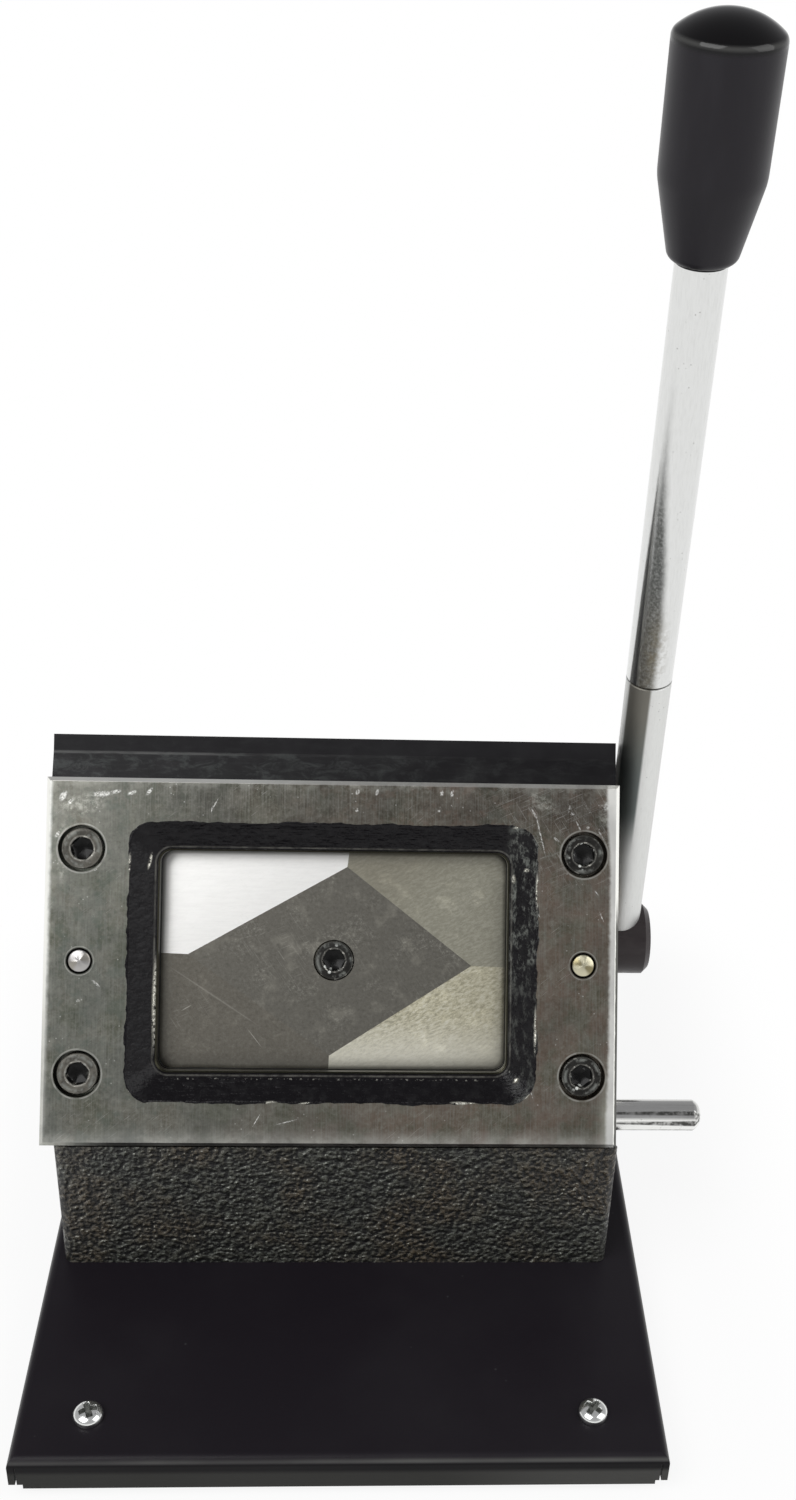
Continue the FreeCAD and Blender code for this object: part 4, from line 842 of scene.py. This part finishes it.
@dataclass(frozen=True)
class DrawnBar:
    """Bright drawn bar: dark and pale lines along its length, with pits and smears between them."""

    name: str
    axes: Axes
    stretch: tuple[float, float, float] = (60, 1, 1)
    pale: Colour = (0.86, 0.86, 0.84)
    dark: Colour = (0.06, 0.06, 0.056)
    width: float = 2.1
    shade: Colour = (0.17, 0.17, 0.16)
    pit: Colour = (0.3, 0.29, 0.26)

    def make(self) -> Material:
        """Builds the material."""
        r = Recipe(self.name)
        at = r.spot(self.axes)
        lines = r.noise(r.spot(self.axes, self.stretch), self.width, 3, 0.6)
        smear = r.fade(r.noise(at, 1.2, 4, 0.7), 0.35, 0.6, 0.5, 1.0)
        r.colour = r.blend(r.times(r.fade(lines, 0.5, 0.6), smear), self.pale, self.dark)
        above = r.fade(r.split(at)[2], 0.6, 3.2, 0.0, 0.35)
        r.coat(above, self.shade)
        pits = r.times(r.fade(r.cells(at, 1.1), 0.2, 0.1), r.fade(r.noise(at, 3, 2), 0.45, 0.6))
        r.coat(r.times(pits, 0.5), self.pit)
        normal = r.relief(r.less(r.times(lines, 0.4), pits), 0.02, 0.5)
        return r.close(r.fade(lines, 0.4, 0.6, 0.12, 0.24), normal, metal=1.0)


@dataclass(frozen=True)
class PanHead:
    """Bright plated screws whose cross recess is darkened by painted shade."""

    name: str = "bright_screws"
    colour: Colour = (0.90, 0.91, 0.89)
    # Colour of the painted shade in the cross recess.
    recess_shade: Colour = (0.035, 0.038, 0.028)

    def make(self) -> Material:
        """Builds the material. Painted shade lies where the surface is below the dome that Tray.pan_screw
        gives.
        """
        r = Recipe(self.name)
        tray = Tray()
        x, y, z = r.split(r.spot(Axes(tray.x, 0, tray.top)))
        off = r.spread(r.less(r.size(x), tray.pitch[0]),
                       r.less(r.size(y), tray.pitch[1]))
        share = r.sum("MINIMUM", r.sum("DIVIDE", off, tray.radius), 1.0)
        dome = r.sum("SQRT", r.less(1.0, r.sum("POWER", share, 2.4)))
        below = r.less(r.times(dome, tray.height - tray.rim), r.less(z, tray.rim))
        sunk = r.times(r.fade(below, 0.3, 0.9), r.fade(share, 0.75, 0.6))
        r.colour = r.blend(r.times(sunk, 0.85), self.colour, self.recess_shade)
        return r.close(r.level(sunk, 0.16, 0.6), metal=1.0)


@dataclass(frozen=True)
class Moulded:
    """Moulded plastic or rubber: fine even texture, faint flow marks and a soft gloss."""

    name: str
    axes: Axes = WHOLE
    colour: Colour = (0.0095, 0.008, 0.011)
    pale: Colour = (0.02, 0.0185, 0.0225)
    gloss: float = 0.33
    texture: float = 0.45
    deep: float = 0.02
    shine: float = 0.24
    crown: float = 1000.0
    polish: Colour = (0.0016, 0.0013, 0.0017)
    # Colour of the painted highlight on the rim.
    rim: Colour = (0.12, 0.12, 0.115)

    def make(self) -> Material:
        """Builds the material. Past crown along Z it is polished and darker, with a painted highlight ring
        just past it.
        """
        r = Recipe(self.name)
        at = r.spot(self.axes)
        flow = r.noise(r.spot(self.axes, (1, 1, 4)), 9, 3, 0.6)
        dots = r.fade(r.cells(at, 6.5), 0.06, 0.03, 0, 0.35)
        r.colour = r.blend(r.sum("MAXIMUM", r.fade(flow, 0.4, 0.75, 0, 0.4), dots), self.colour, self.pale)
        z = r.split(at)[2]
        polished = r.fade(z, self.crown - 1.5, self.crown)
        r.coat(polished, self.polish)
        # Painted highlight in a ring on the grip's rim.
        rim = r.times(r.band(z, self.crown + 0.4, 0.75), 0.4)
        r.coat(rim, self.rim)
        rough = r.level(polished, r.fade(flow, 0.3, 0.7, self.gloss - 0.03, self.gloss + 0.06), 0.08)
        normal = r.relief(r.noise(at, self.texture, 2, 0.5), self.deep, 0.5)
        return r.close(rough, normal, shine=self.shine)


def grid_faces(rows: int, columns: int, wrap_rows: bool = False) -> np.ndarray:
    """Quads of a grid whose columns close on themselves.

    Args:
        rows: How many rows of points there are.
        columns: How many points each row has.
        wrap_rows: Whether the last row joins the first one.

    Returns:
        One row of four point numbers for each face.
    """
    r = np.arange(rows if wrap_rows else rows - 1)[:, None]
    c = np.arange(columns)[None, :]
    across, up = (c + 1) % columns, (r + 1) % rows
    return np.stack([r * columns + c, r * columns + across, up * columns + across, up * columns + c],
                    -1).reshape(-1, 4)


def ring_of(a: np.ndarray, radius: float | np.ndarray, z: float | np.ndarray) -> np.ndarray:
    """Points round the Z axis at angles a, whose radius and height are one number or one for each angle."""
    return np.column_stack([radius * np.cos(a), radius * np.sin(a), np.broadcast_to(z, a.shape)])


def closed_surface(points: np.ndarray) -> Surface:
    """Grid of rings with both ends closed by a fan to the middle of the first and last ring.

    Args:
        points: Rings by points by three numbers.

    Returns:
        The points as one list, and the faces.
    """
    rows, columns = points.shape[:2]
    ends = np.stack([points[0].mean(0), points[-1].mean(0)])
    flat = np.concatenate([points.reshape(-1, 3), ends])
    c = np.arange(columns)
    last = (rows - 1) * columns
    low = np.stack([(c + 1) % columns, c, np.full(columns, rows * columns)], 1)
    high = np.stack([last + c, last + (c + 1) % columns, np.full(columns, rows * columns + 1)], 1)
    return flat, grid_faces(rows, columns).tolist() + low.tolist() + high.tolist()


def new_piece(name: str, parts: list[Surface], finish: Material,
              crease: float = 35.0) -> bpy.types.Object:
    """Puts closed surfaces into one object whose faces point outwards.

    Each part is turned inside out where its signed volume, a sixth of the sum of a . (b x c) over its
    triangles, is less than 0.

    Args:
        name: The object's name.
        parts: Points in metres in the whole object's axes, and faces, of each surface.
        finish: Its material.
        crease: The angle in degrees past which an edge is shaded sharp.

    Returns:
        The new object, at the origin.
    """
    points, faces, start = [], [], 0
    for part, sides in parts:
        first = np.array([f[:3] for f in sides])
        rest = np.array([[f[0], f[2], f[3]] for f in sides if len(f) == 4] or [[0, 0, 0]])
        tri = part[np.concatenate([first, rest])]
        volume = np.einsum("ij,ij->i", tri[:, 0], np.cross(tri[:, 1], tri[:, 2])).sum()
        order = -1 if volume < 0 else 1
        faces += [[start + n for n in f[::order]] for f in sides]
        points.append(part)
        start += len(part)
    mesh = bpy.data.meshes.new(name)
    mesh.from_pydata(np.concatenate(points).tolist(), [], faces)
    mesh.validate()
    mesh.polygons.foreach_set("use_smooth", np.ones(len(mesh.polygons), bool))
    mesh.set_sharp_from_angle(angle=math.radians(crease))
    mesh.materials.append(finish)
    piece = bpy.data.objects.new(name, mesh)
    bpy.context.scene.collection.objects.link(piece)
    return piece


def ripple(phase: np.ndarray, waves: tuple[tuple[float, float], ...], seed: int) -> np.ndarray:
    """Sum of sines of a closed path's phase, with each one's count and height, and its own start."""
    start = np.random.default_rng(seed).uniform(0, 2 * np.pi, len(waves))
    return sum(height * np.sin(count * phase + s) for (count, height), s in zip(waves, start))


@dataclass
class DieSet:
    """The die plate's painted window border, and socket head screws with knurled heads."""

    mouth_corner: float = 6.0
    relief_width: float = 6.8
    land_face: float = -5.0
    coat: float = 0.12
    lap: float = 0.3
    bare: float = 0.05
    screw_radius: float = 5.0
    head_height: float = 6.0
    sink: float = 0.4
    socket_half: float = 2.5
    socket_depth: float = 3.0
    shank: float = 2.95
    reach: float = 24.5
    ridges: int = 44
    ridge_depth: float = 0.11
    punch_face: float = -10.0
    dowel_radius: float = 2.97
    dowel_length: float = 31.8
    crown: float = 0.75
    turns: tuple[float, ...] = (0.3, 1.1, 0.75, 0.1)

    def loop(self, half: tuple[float, float], corner: float) -> np.ndarray:
        """Points round a soft-cornered rectangle, with as many on each side and corner whatever its size.

        A side is a straight run between two corners and a corner is a quarter circle.
        """
        inner = np.array(half) - corner
        t, q = np.linspace(0, 1, 120, endpoint=False), np.linspace(0, np.pi / 2, 16, endpoint=False)
        runs = []
        for k in range(4):
            turn = k * np.pi / 2
            centre = inner * [(1, 1), (-1, 1), (-1, -1), (1, -1)][k]
            following = inner * [(-1, 1), (-1, -1), (1, -1), (1, 1)][k]
            arc = centre + corner * np.stack([np.cos(q + turn), np.sin(q + turn)], 1)
            out = corner * np.array([np.cos(turn + np.pi / 2), np.sin(turn + np.pi / 2)])
            runs += [arc, (centre + out) * (1 - t[:, None]) + (following + out) * t[:, None]]
        return np.concatenate(runs)

    def window_paint(self, finish: Material) -> bpy.types.Object:
        """Brushed coat on the relief bevel that laps unevenly over the plate's face.

        Across, a point goes from the throat line to the mouth line, then out over the face by the lap plus
        a ripple, and back under the steel's surface. Its height is the coat plus a ripple of both ways round.
        """
        throat = self.loop(WINDOW_HALF, CARD_CORNER)
        grow = self.relief_width
        mouth = self.loop((WINDOW_HALF[0] + grow, WINDOW_HALF[1] + grow), self.mouth_corner)
        phase = np.linspace(0, 2 * np.pi, len(throat), endpoint=False)
        lap = self.lap + ripple(phase, ((9, .18), (17, .16), (31, .14), (67, .1), (121, .06), (190, .05)), 4)
        lap = np.clip(lap, 0.02, 1.6)
        away = mouth - throat
        away /= np.linalg.norm(away, axis=1)[:, None]
        rows = []
        shares = np.array([self.bare, 0.07, 0.12, 0.25, 0.4, 0.55, 0.7, 0.85, 0.95, 1.0])
        rise = np.array([-0.05, 0.8, 1.0, 1.1, 1.0, 0.9, 1.0, 1.1, 1.2, 1.3])
        normal_out, normal_up = -self.land_face, grow
        length = math.hypot(normal_out, normal_up)
        for n, (share, up) in enumerate(zip(shares, rise)):
            wave = 1 + ripple(phase, ((5, .2), (13, .2), (29, .18), (61, .14)), 20 + n // 2)
            thick = self.coat * up * (wave if up > 0 else np.ones_like(phase))
            flat = throat * (1 - share) + mouth * share - away * (thick * normal_out / length)[:, None]
            rows.append(np.column_stack([flat, self.land_face * (1 - share) + thick * normal_up / length]))
        for share, up in ((0.35, 1.35), (0.75, 1.2), (0.95, 0.8), (1.0, -0.4)):
            wave = 1 + ripple(phase, ((7, .2), (19, .2), (43, .15)), 40)
            flat = mouth + away * (lap * share)[:, None]
            rows.append(np.column_stack([flat, self.coat * up * (wave if up > 0 else np.ones_like(phase))]))
        under = mouth - away * 0.2
        rows.append(np.column_stack([under, np.full(len(phase), -0.6)]))
        back = throat * (1 - shares[0]) + mouth * shares[0] + away * 0.2
        rows.append(np.column_stack([back, np.full(len(phase), self.land_face - 0.3)]))
        grid = np.stack(rows)
        part = (DIE.world(grid.reshape(-1, 3)), grid_faces(len(rows), len(phase), wrap_rows=True).tolist())
        return new_piece("window_paint", [part], finish, 60)

    def cap_screw(self, x: float, y: float, face: float, turn: float) -> Surface:
        """One socket head screw, its head's face at a depth behind the plate's front.

        A ring's radius goes from a circle to a hexagon, half across flats / cos of the angle from the
        nearest flat, and the head's side is knurled by even ridges round it.
        """
        a = np.linspace(0, 2 * np.pi, 132, endpoint=False)
        hexagon = self.socket_half / np.cos((a + np.pi / 6) % (np.pi / 3) - np.pi / 6)
        knurl = self.ridge_depth * np.abs(np.sin(self.ridges / 2 * a))
        r, low = self.screw_radius, -self.head_height
        rings = [
            (self.shank - 0.25, 0, 0, low - self.reach), (self.shank, 0, 0, low - self.reach + 0.5),
            (self.shank, 0, 0, low), (r - 0.3, 0, 0, low),
            (r - 0.02, 0, 0, low + 0.35), (r, 0, 1, low + 0.6), (r, 0, 1, -1.0), (r, 0, 0, -0.75),
            (r - 0.03, 0, 0, -0.55), (r - 0.16, 0, 0, -0.2), (r - 0.42, 0, 0, -0.04), (r - 0.75, 0, 0, 0.0),
            (0.42, 1, 0, 0.0), (0.22, 1, 0, -0.07), (0.06, 1, 0, -0.26), (0.0, 1, 0, -0.5),
            (0.0, 1, 0, -self.socket_depth), (1.2, 0, 0, -self.socket_depth - 0.7),
        ]
        points = []
        for size, six, rough, z in rings:
            points.append(ring_of(a + turn, (hexagon + size if six else size) - rough * knurl, z))
        flat, faces = closed_surface(np.stack(points))
        return DIE.world(flat + (x, y, face)), faces

    def dowel(self, x: float, turn: float) -> Surface:
        """One dowel pin with a rounded end that hand grinding has left in a few flats.

        The end's height is crown * (1 - (r / radius) ** 2), less a ripple of five waves round it.
        """
        a = np.linspace(0, 2 * np.pi, 60, endpoint=False)
        rings = [(self.dowel_radius - 0.4, -self.dowel_length), (self.dowel_radius, -self.dowel_length + 0.6)]
        points = [ring_of(a, r, z) for r, z in rings]
        for share in (1.0, 0.985, 0.95, 0.88, 0.78, 0.66, 0.52, 0.38, 0.24, 0.1):
            r = self.dowel_radius * share
            flats = 0.07 * share * (1 - share) * 4 * np.abs(np.sin(2.5 * (a + turn)))
            z = self.crown * (1 - share ** 2) - 0.3 * np.clip((share - 0.86) / 0.14, 0, 1) ** 2 - flats - 0.12
            points.append(ring_of(a, r, z))
        flat, faces = closed_surface(np.stack(points))
        return DIE.world(flat + (x, 0, 0)), faces

    def build(self, finishes: Finishes) -> None:
        """Makes the pieces and sets them on their bodies."""
        border = self.window_paint(finishes["window_paint"])
        pins = new_piece("dowel_ends", [self.dowel(-SCREW_SPOT[0], 0.4), self.dowel(SCREW_SPOT[0], 1.3)],
                         finishes["dowel_steel"], 30)
        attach(pins, "frame")
        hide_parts("dowel_pins")
        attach(border, "frame")
        spots = [(side * SCREW_SPOT[0], level * SCREW_SPOT[1]) for level in (1, -1) for side in (-1, 1)]
        screws = [self.cap_screw(x, y, -self.sink, turn) for (x, y), turn in zip(spots, self.turns)]
        plate = new_piece("die_cap_screws", screws, finishes["dark_screws"], 40)
        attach(plate, "frame")
        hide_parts("die_screws")
        single = new_piece("punch_cap_screw", [self.cap_screw(0, 0, self.punch_face - self.sink, 0.55)],
                           finishes["dark_screws"], 40)
        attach(single, "ram_and_punch")
        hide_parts("punch_screw")
        for piece in (border, pins, plate, single):
            log.info("%s: %d faces", piece.name, len(piece.data.polygons))


@dataclass
class Lever:
    """The lever's moulded grip: a taper up from the rod, a nearly straight barrel, a round rim and a dome."""

    neck: tuple[float, float] = (197.9, 5.48)
    foot_round: float = 2.4
    taper_angle: float = 12.65
    kink: tuple[float, float] = (215.5, 11.36)
    rim: tuple[float, float] = (242.07, 11.5)
    rim_round: float = 2.0
    apex: float = 247.58
    dome_radius: float = 16.6

    def profile(self) -> np.ndarray:
        """Heights and radii from the rod to the top.

        The foot is an arc about the neck's own centre, the taper and the barrel are straight with a soft
        bend between them, the rim is an arc that turns into the dome, and the dome is part of a sphere.
        """
        a = np.radians(np.linspace(4, 90 - self.taper_angle, 10))
        foot = np.array(self.neck) + self.foot_round * np.column_stack([1 - np.cos(a), np.sin(a)])
        t = np.linspace(0, 1, 9)[:, None]
        low, high = np.array(self.kink) + (-1.4, -0.31), np.array(self.kink) + (1.8, 0.01)
        bend = (1 - t) ** 2 * low + 2 * t * (1 - t) * np.array(self.kink) + t ** 2 * high
        meet = math.asin((self.rim[1] - self.rim_round) / (self.dome_radius - self.rim_round))
        b = np.linspace(np.pi / 2, meet, 10)
        rim = np.array(self.rim) + self.rim_round * np.column_stack([np.cos(b), np.sin(b) - 1])
        c = np.linspace(meet, 0.01, 22)[1:]
        centre = (self.apex - self.dome_radius, 0.0)
        dome = centre + self.dome_radius * np.column_stack([np.cos(c), np.sin(c)])
        return np.concatenate([foot, bend, rim, dome])

    def build(self, finishes: Finishes) -> None:
        """Turns the profile about the rod and sets the grip on the lever."""
        a = np.linspace(0, 2 * np.pi, 96, endpoint=False)
        flat, faces = closed_surface(np.stack([ring_of(a, r, z) for z, r in self.profile()]))
        piece = new_piece("grip_moulding", [(LEVER.world(flat), faces)], finishes["grip_plastic"], 60)
        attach(piece, "lever")
        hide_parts("grip")
        log.info("%s: %d faces", piece.name, len(piece.data.polygons))


@dataclass
class Tray:
    """The tray's four pan head screws with a tapered cross recess."""

    x: float = -8.275
    top: float = 12.0
    pitch: tuple[float, float] = (58.55, 89.8)
    radius: float = 3.6
    height: float = 2.6
    rim: float = 0.7
    arm: float = 0.62
    reach: float = 2.15
    deep: float = 1.55
    shank: float = 2.0
    length: float = 9.0

    def pan_screw(self, x: float, y: float, turn: float) -> Surface:
        """One screw.

        The dome is the rim plus the rest of the height times the root of 1 - (r / radius) to the power 2.4.
        The recess is the product of two soft steps, across the nearer arm and along it, and it is
        deepest in the middle and shallower outwards.
        """
        a = np.linspace(0, 2 * np.pi, 96, endpoint=False)
        low = [(self.shank, -self.length), (self.shank, 0.0), (self.radius - 0.1, 0.0), (self.radius, 0.12),
               (self.radius, self.rim)]
        rings = [ring_of(a, r, z) for r, z in low]
        for share in np.concatenate([np.linspace(0.985, 0.66, 9), np.linspace(0.64, 0.02, 44)]):
            r = self.radius * share
            px, py = np.abs(r * np.cos(a)), np.abs(r * np.sin(a))
            near, far = np.minimum(px, py), np.maximum(px, py)
            dome = self.rim + (self.height - self.rim) * (1 - share ** 2.4) ** 0.5
            across = np.clip((self.arm + 0.09 - near) / 0.18, 0, 1)
            along = np.clip((self.reach - far) / 0.25, 0, 1)
            heart = np.clip((1.28 - (px + py)) / 0.3, 0, 1)
            cut = np.maximum(across * along, heart)
            z = dome - cut * self.deep * (1 - 0.5 * np.clip(far / self.reach, 0, 1))
            rings.append(ring_of(a, r, z))
        flat, faces = closed_surface(np.stack(rings))
        c, s = math.cos(turn), math.sin(turn)
        spun = np.column_stack([c * flat[:, 0] - s * flat[:, 1], s * flat[:, 0] + c * flat[:, 1], flat[:, 2]])
        return Axes(x, y, self.top).world(spun), faces

    def build(self, finishes: Finishes) -> None:
        """Makes the screws and sets them on the frame."""
        px, py = self.pitch
        spots = ((-px, -py, 0.35), (px, -py, 0.9), (-px, py, 0.1), (px, py, 0.6))
        piece = new_piece("tray_pan_screws", [self.pan_screw(self.x + x, y, t) for x, y, t in spots],
                          finishes["bright_screws"], 45)
        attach(piece, "frame")
        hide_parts("tray_screws")
        log.info("%s: %d faces", piece.name, len(piece.data.polygons))


@dataclass
class Studio:
    """Pale floor, soft lamps, and the camera at the photograph's place."""

    eye: tuple[float, float, float] = (-5.805, -348.58, 338.85)
    yaw: float = 3.68
    pitch: float = 30.71
    roll: float = 2.79
    focal: float = 1670.95
    middle: tuple[float, float] = (455.79, 778.39)
    image: tuple[int, int] = (796, 1500)
    sensor: float = 36.0
    lamps: tuple[tuple, ...] = (
        ("key", (-0.55, -0.55, 1.05), (0, 0, 0.06), (0.8, 0.8), 8.5),
        ("fill", (0.85, -0.35, 0.75), (0, 0, 0.08), (0.7, 0.9), 4.0),
    )
    floor_half: float = 12.0

    def camera(self) -> None:
        """Makes the camera from the fitted angles, focal length and principal point in pixels."""
        y, e, r = (math.radians(v) for v in (self.yaw, self.pitch, self.roll))
        forward = Vector((math.sin(y) * math.cos(e), math.cos(y) * math.cos(e), -math.sin(e)))
        right = Vector((math.cos(y), -math.sin(y), 0))
        up = right.cross(forward)
        right, up = math.cos(r) * right + math.sin(r) * up, math.cos(r) * up - math.sin(r) * right
        data = bpy.data.cameras.new("view")
        data.sensor_width = self.sensor
        data.lens = self.focal / self.image[1] * self.sensor
        data.shift_x = (self.image[0] / 2 - self.middle[0]) / self.image[1]
        data.shift_y = (self.middle[1] - self.image[1] / 2) / self.image[1]
        data.clip_start, data.clip_end = 0.01, 30.0
        eye = bpy.data.objects.new("view", data)
        eye.matrix_world = Matrix((
            (right.x, up.x, -forward.x, self.eye[0] * MM), (right.y, up.y, -forward.y, self.eye[1] * MM),
            (right.z, up.z, -forward.z, self.eye[2] * MM), (0, 0, 0, 1)))
        bpy.context.scene.collection.objects.link(eye)
        bpy.context.scene.camera = eye

    def lamp(self, name: str, place: tuple[float, float, float], aim: tuple[float, float, float],
             size: tuple[float, float], power: float) -> None:
        """One soft rectangular lamp that points at aim. Its power is in watts and its size in metres."""
        data = bpy.data.lights.new(name, "AREA")
        data.shape = "RECTANGLE"
        data.size, data.size_y = size
        data.energy = power
        lamp = bpy.data.objects.new(name, data)
        lamp.location = place
        lamp.rotation_euler = (Vector(aim) - Vector(place)).to_track_quat("-Z", "Y").to_euler()
        bpy.context.scene.collection.objects.link(lamp)

    def floor(self) -> None:
        """Wide pale floor. Far from the object it is plain white to the camera and in reflections."""
        r = Recipe("floor")
        x, y, _ = r.split(r.spot())
        away = r.ring(x, y, FOOTPRINT_HALF, 12.0)
        path = r.add("ShaderNodeLightPath", {})
        seen = r.largest(*(path.outputs[n] for n in ("Is Camera Ray", "Is Glossy Ray",
                                                     "Is Transmission Ray")))
        share = r.times(r.fade(away, 0, 50, 0.88, 1.0), seen)
        diffuse = r.add("ShaderNodeBsdfDiffuse", {"Color": (0.93, 0.93, 0.93)}).outputs[0]
        white = r.add("ShaderNodeEmission", {"Color": (1, 1, 1), "Strength": 1.0}).outputs[0]
        mixed = r.add("ShaderNodeMixShader", {0: share, 1: diffuse, 2: white}).outputs[0]
        r.add("ShaderNodeOutputMaterial", {"Surface": mixed})
        mesh = bpy.data.meshes.new("floor")
        far = self.floor_half
        corners = [(-far, -far, 0), (far, -far, 0), (far, far, 0), (-far, far, 0)]
        mesh.from_pydata(corners, [], [(0, 1, 2, 3)])
        mesh.materials.append(r.material)
        plane = bpy.data.objects.new("floor", mesh)
        bpy.context.scene.collection.objects.link(plane)

    def world(self) -> None:
        """Soft room light: pale near the horizon and dimmer overhead."""
        world = bpy.data.worlds.new("room")
        bpy.context.scene.world = world
        world.use_nodes = True
        tree = world.node_tree
        tree.nodes.clear()
        coords = tree.nodes.new("ShaderNodeTexCoord")
        split = tree.nodes.new("ShaderNodeSeparateXYZ")
        ramp = tree.nodes.new("ShaderNodeValToRGB")
        tree.links.new(coords.outputs["Generated"], split.inputs[0])
        tree.links.new(split.outputs[2], ramp.inputs[0])
        ramp.color_ramp.interpolation = "EASE"
        points = ramp.color_ramp.elements
        points[0].position, points[0].color = 0.0, (0.95, 0.95, 0.95, 1)
        points[1].position, points[1].color = 1.0, (0.34, 0.34, 0.35, 1)
        middle = points.new(0.38)
        middle.color = (0.40, 0.40, 0.41, 1)
        back = tree.nodes.new("ShaderNodeBackground")
        white = tree.nodes.new("ShaderNodeBackground")
        white.inputs[0].default_value = (1, 1, 1, 1)
        path = tree.nodes.new("ShaderNodeLightPath")
        mixed = tree.nodes.new("ShaderNodeMixShader")
        out = tree.nodes.new("ShaderNodeOutputWorld")
        tree.links.new(ramp.outputs[0], back.inputs[0])
        tree.links.new(path.outputs["Is Camera Ray"], mixed.inputs[0])
        tree.links.new(back.outputs[0], mixed.inputs[1])
        tree.links.new(white.outputs[0], mixed.inputs[2])
        tree.links.new(mixed.outputs[0], out.inputs[0])

    def build(self) -> None:
        """Sets up the whole stage."""
        bpy.context.scene.view_settings.view_transform = "Standard"
        self.camera()
        self.floor()
        self.world()
        for row in self.lamps:
            self.lamp(*row)


def finish_table() -> Finishes:
    """Every finish, by the record's slot name or the piece's own."""
    along = (9, 1, 1)
    recipes = {
        "tray_paint": PowderCoat(),
        "crinkle_paint": CrinklePaint(),
        "ground_steel": GroundSteel(),
        "punch_steel": ShearGround(),
        "window_paint": BrushedPaint(),
        "dark_plate": BlackOxide("dark_plate", DIE, (0.006, 0.0056, 0.0066), (0.02, 0.021, 0.021), 0.36,
                                 along, Wear.TOP_EDGE, 0.16),
        "dark_screws": BlackOxide("dark_screws", DIE, (0.005, 0.005, 0.005), (0.02, 0.02, 0.018), 0.2,
                                  wear=Wear.SOCKET_RIMS, shine=0.2),
        "shaft_steel": BlackOxide("shaft_steel", WHOLE, (0.042, 0.035, 0.036), (0.07, 0.06, 0.06), 0.32,
                                  along),
        "bright_screws": PanHead(),
        "polished_steel": DrawnBar("polished_steel", PIN),
        "dowel_steel": DowelEnd(),
        "rod_chrome": LeverRod(),
        "ram_iron": BrightMetal("ram_iron", DIE, (0.3, 0.3, 0.29), (0.2, 0.19, 0.17), 0.34),
        "bronze": BrightMetal("bronze", WHOLE, (0.62, 0.44, 0.2), (0.4, 0.28, 0.13), 0.28, along),
        "grip_plastic": Moulded("grip_plastic", LEVER, crown=242.6),
        "rubber": Moulded("rubber", WHOLE, (0.016, 0.016, 0.016), (0.04, 0.04, 0.04), 0.62, 0.7, 0.05),
    }
    return {name: recipe.make() for name, recipe in recipes.items()}


def dress_nodes(finishes: Finishes) -> None:
    """Gives every CAD node the finish of its slot in the record, and the punch its own."""
    slots = {row["node"]: row["material_slot"] for row in frame["record"]["subparts"]}
    for name, node in frame["nodes"].items():
        finish = finishes["punch_steel" if name == "punch" else slots[name]]
        node.data.materials.clear()
        node.data.materials.append(finish)
    log.info("%d nodes dressed", len(frame["nodes"]))


def main() -> None:
    """Builds the stage, the finishes and the detailed pieces."""
    logging.basicConfig(level=logging.INFO, format="%(message)s")
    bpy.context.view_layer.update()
    for plain in bpy.data.materials:
        plain.name = "packed_" + plain.name
    Studio().build()
    finishes = finish_table()
    dress_nodes(finishes)
    DieSet().build(finishes)
    Lever().build(finishes)
    Tray().build(finishes)


if __name__ == "__main__":
    main()
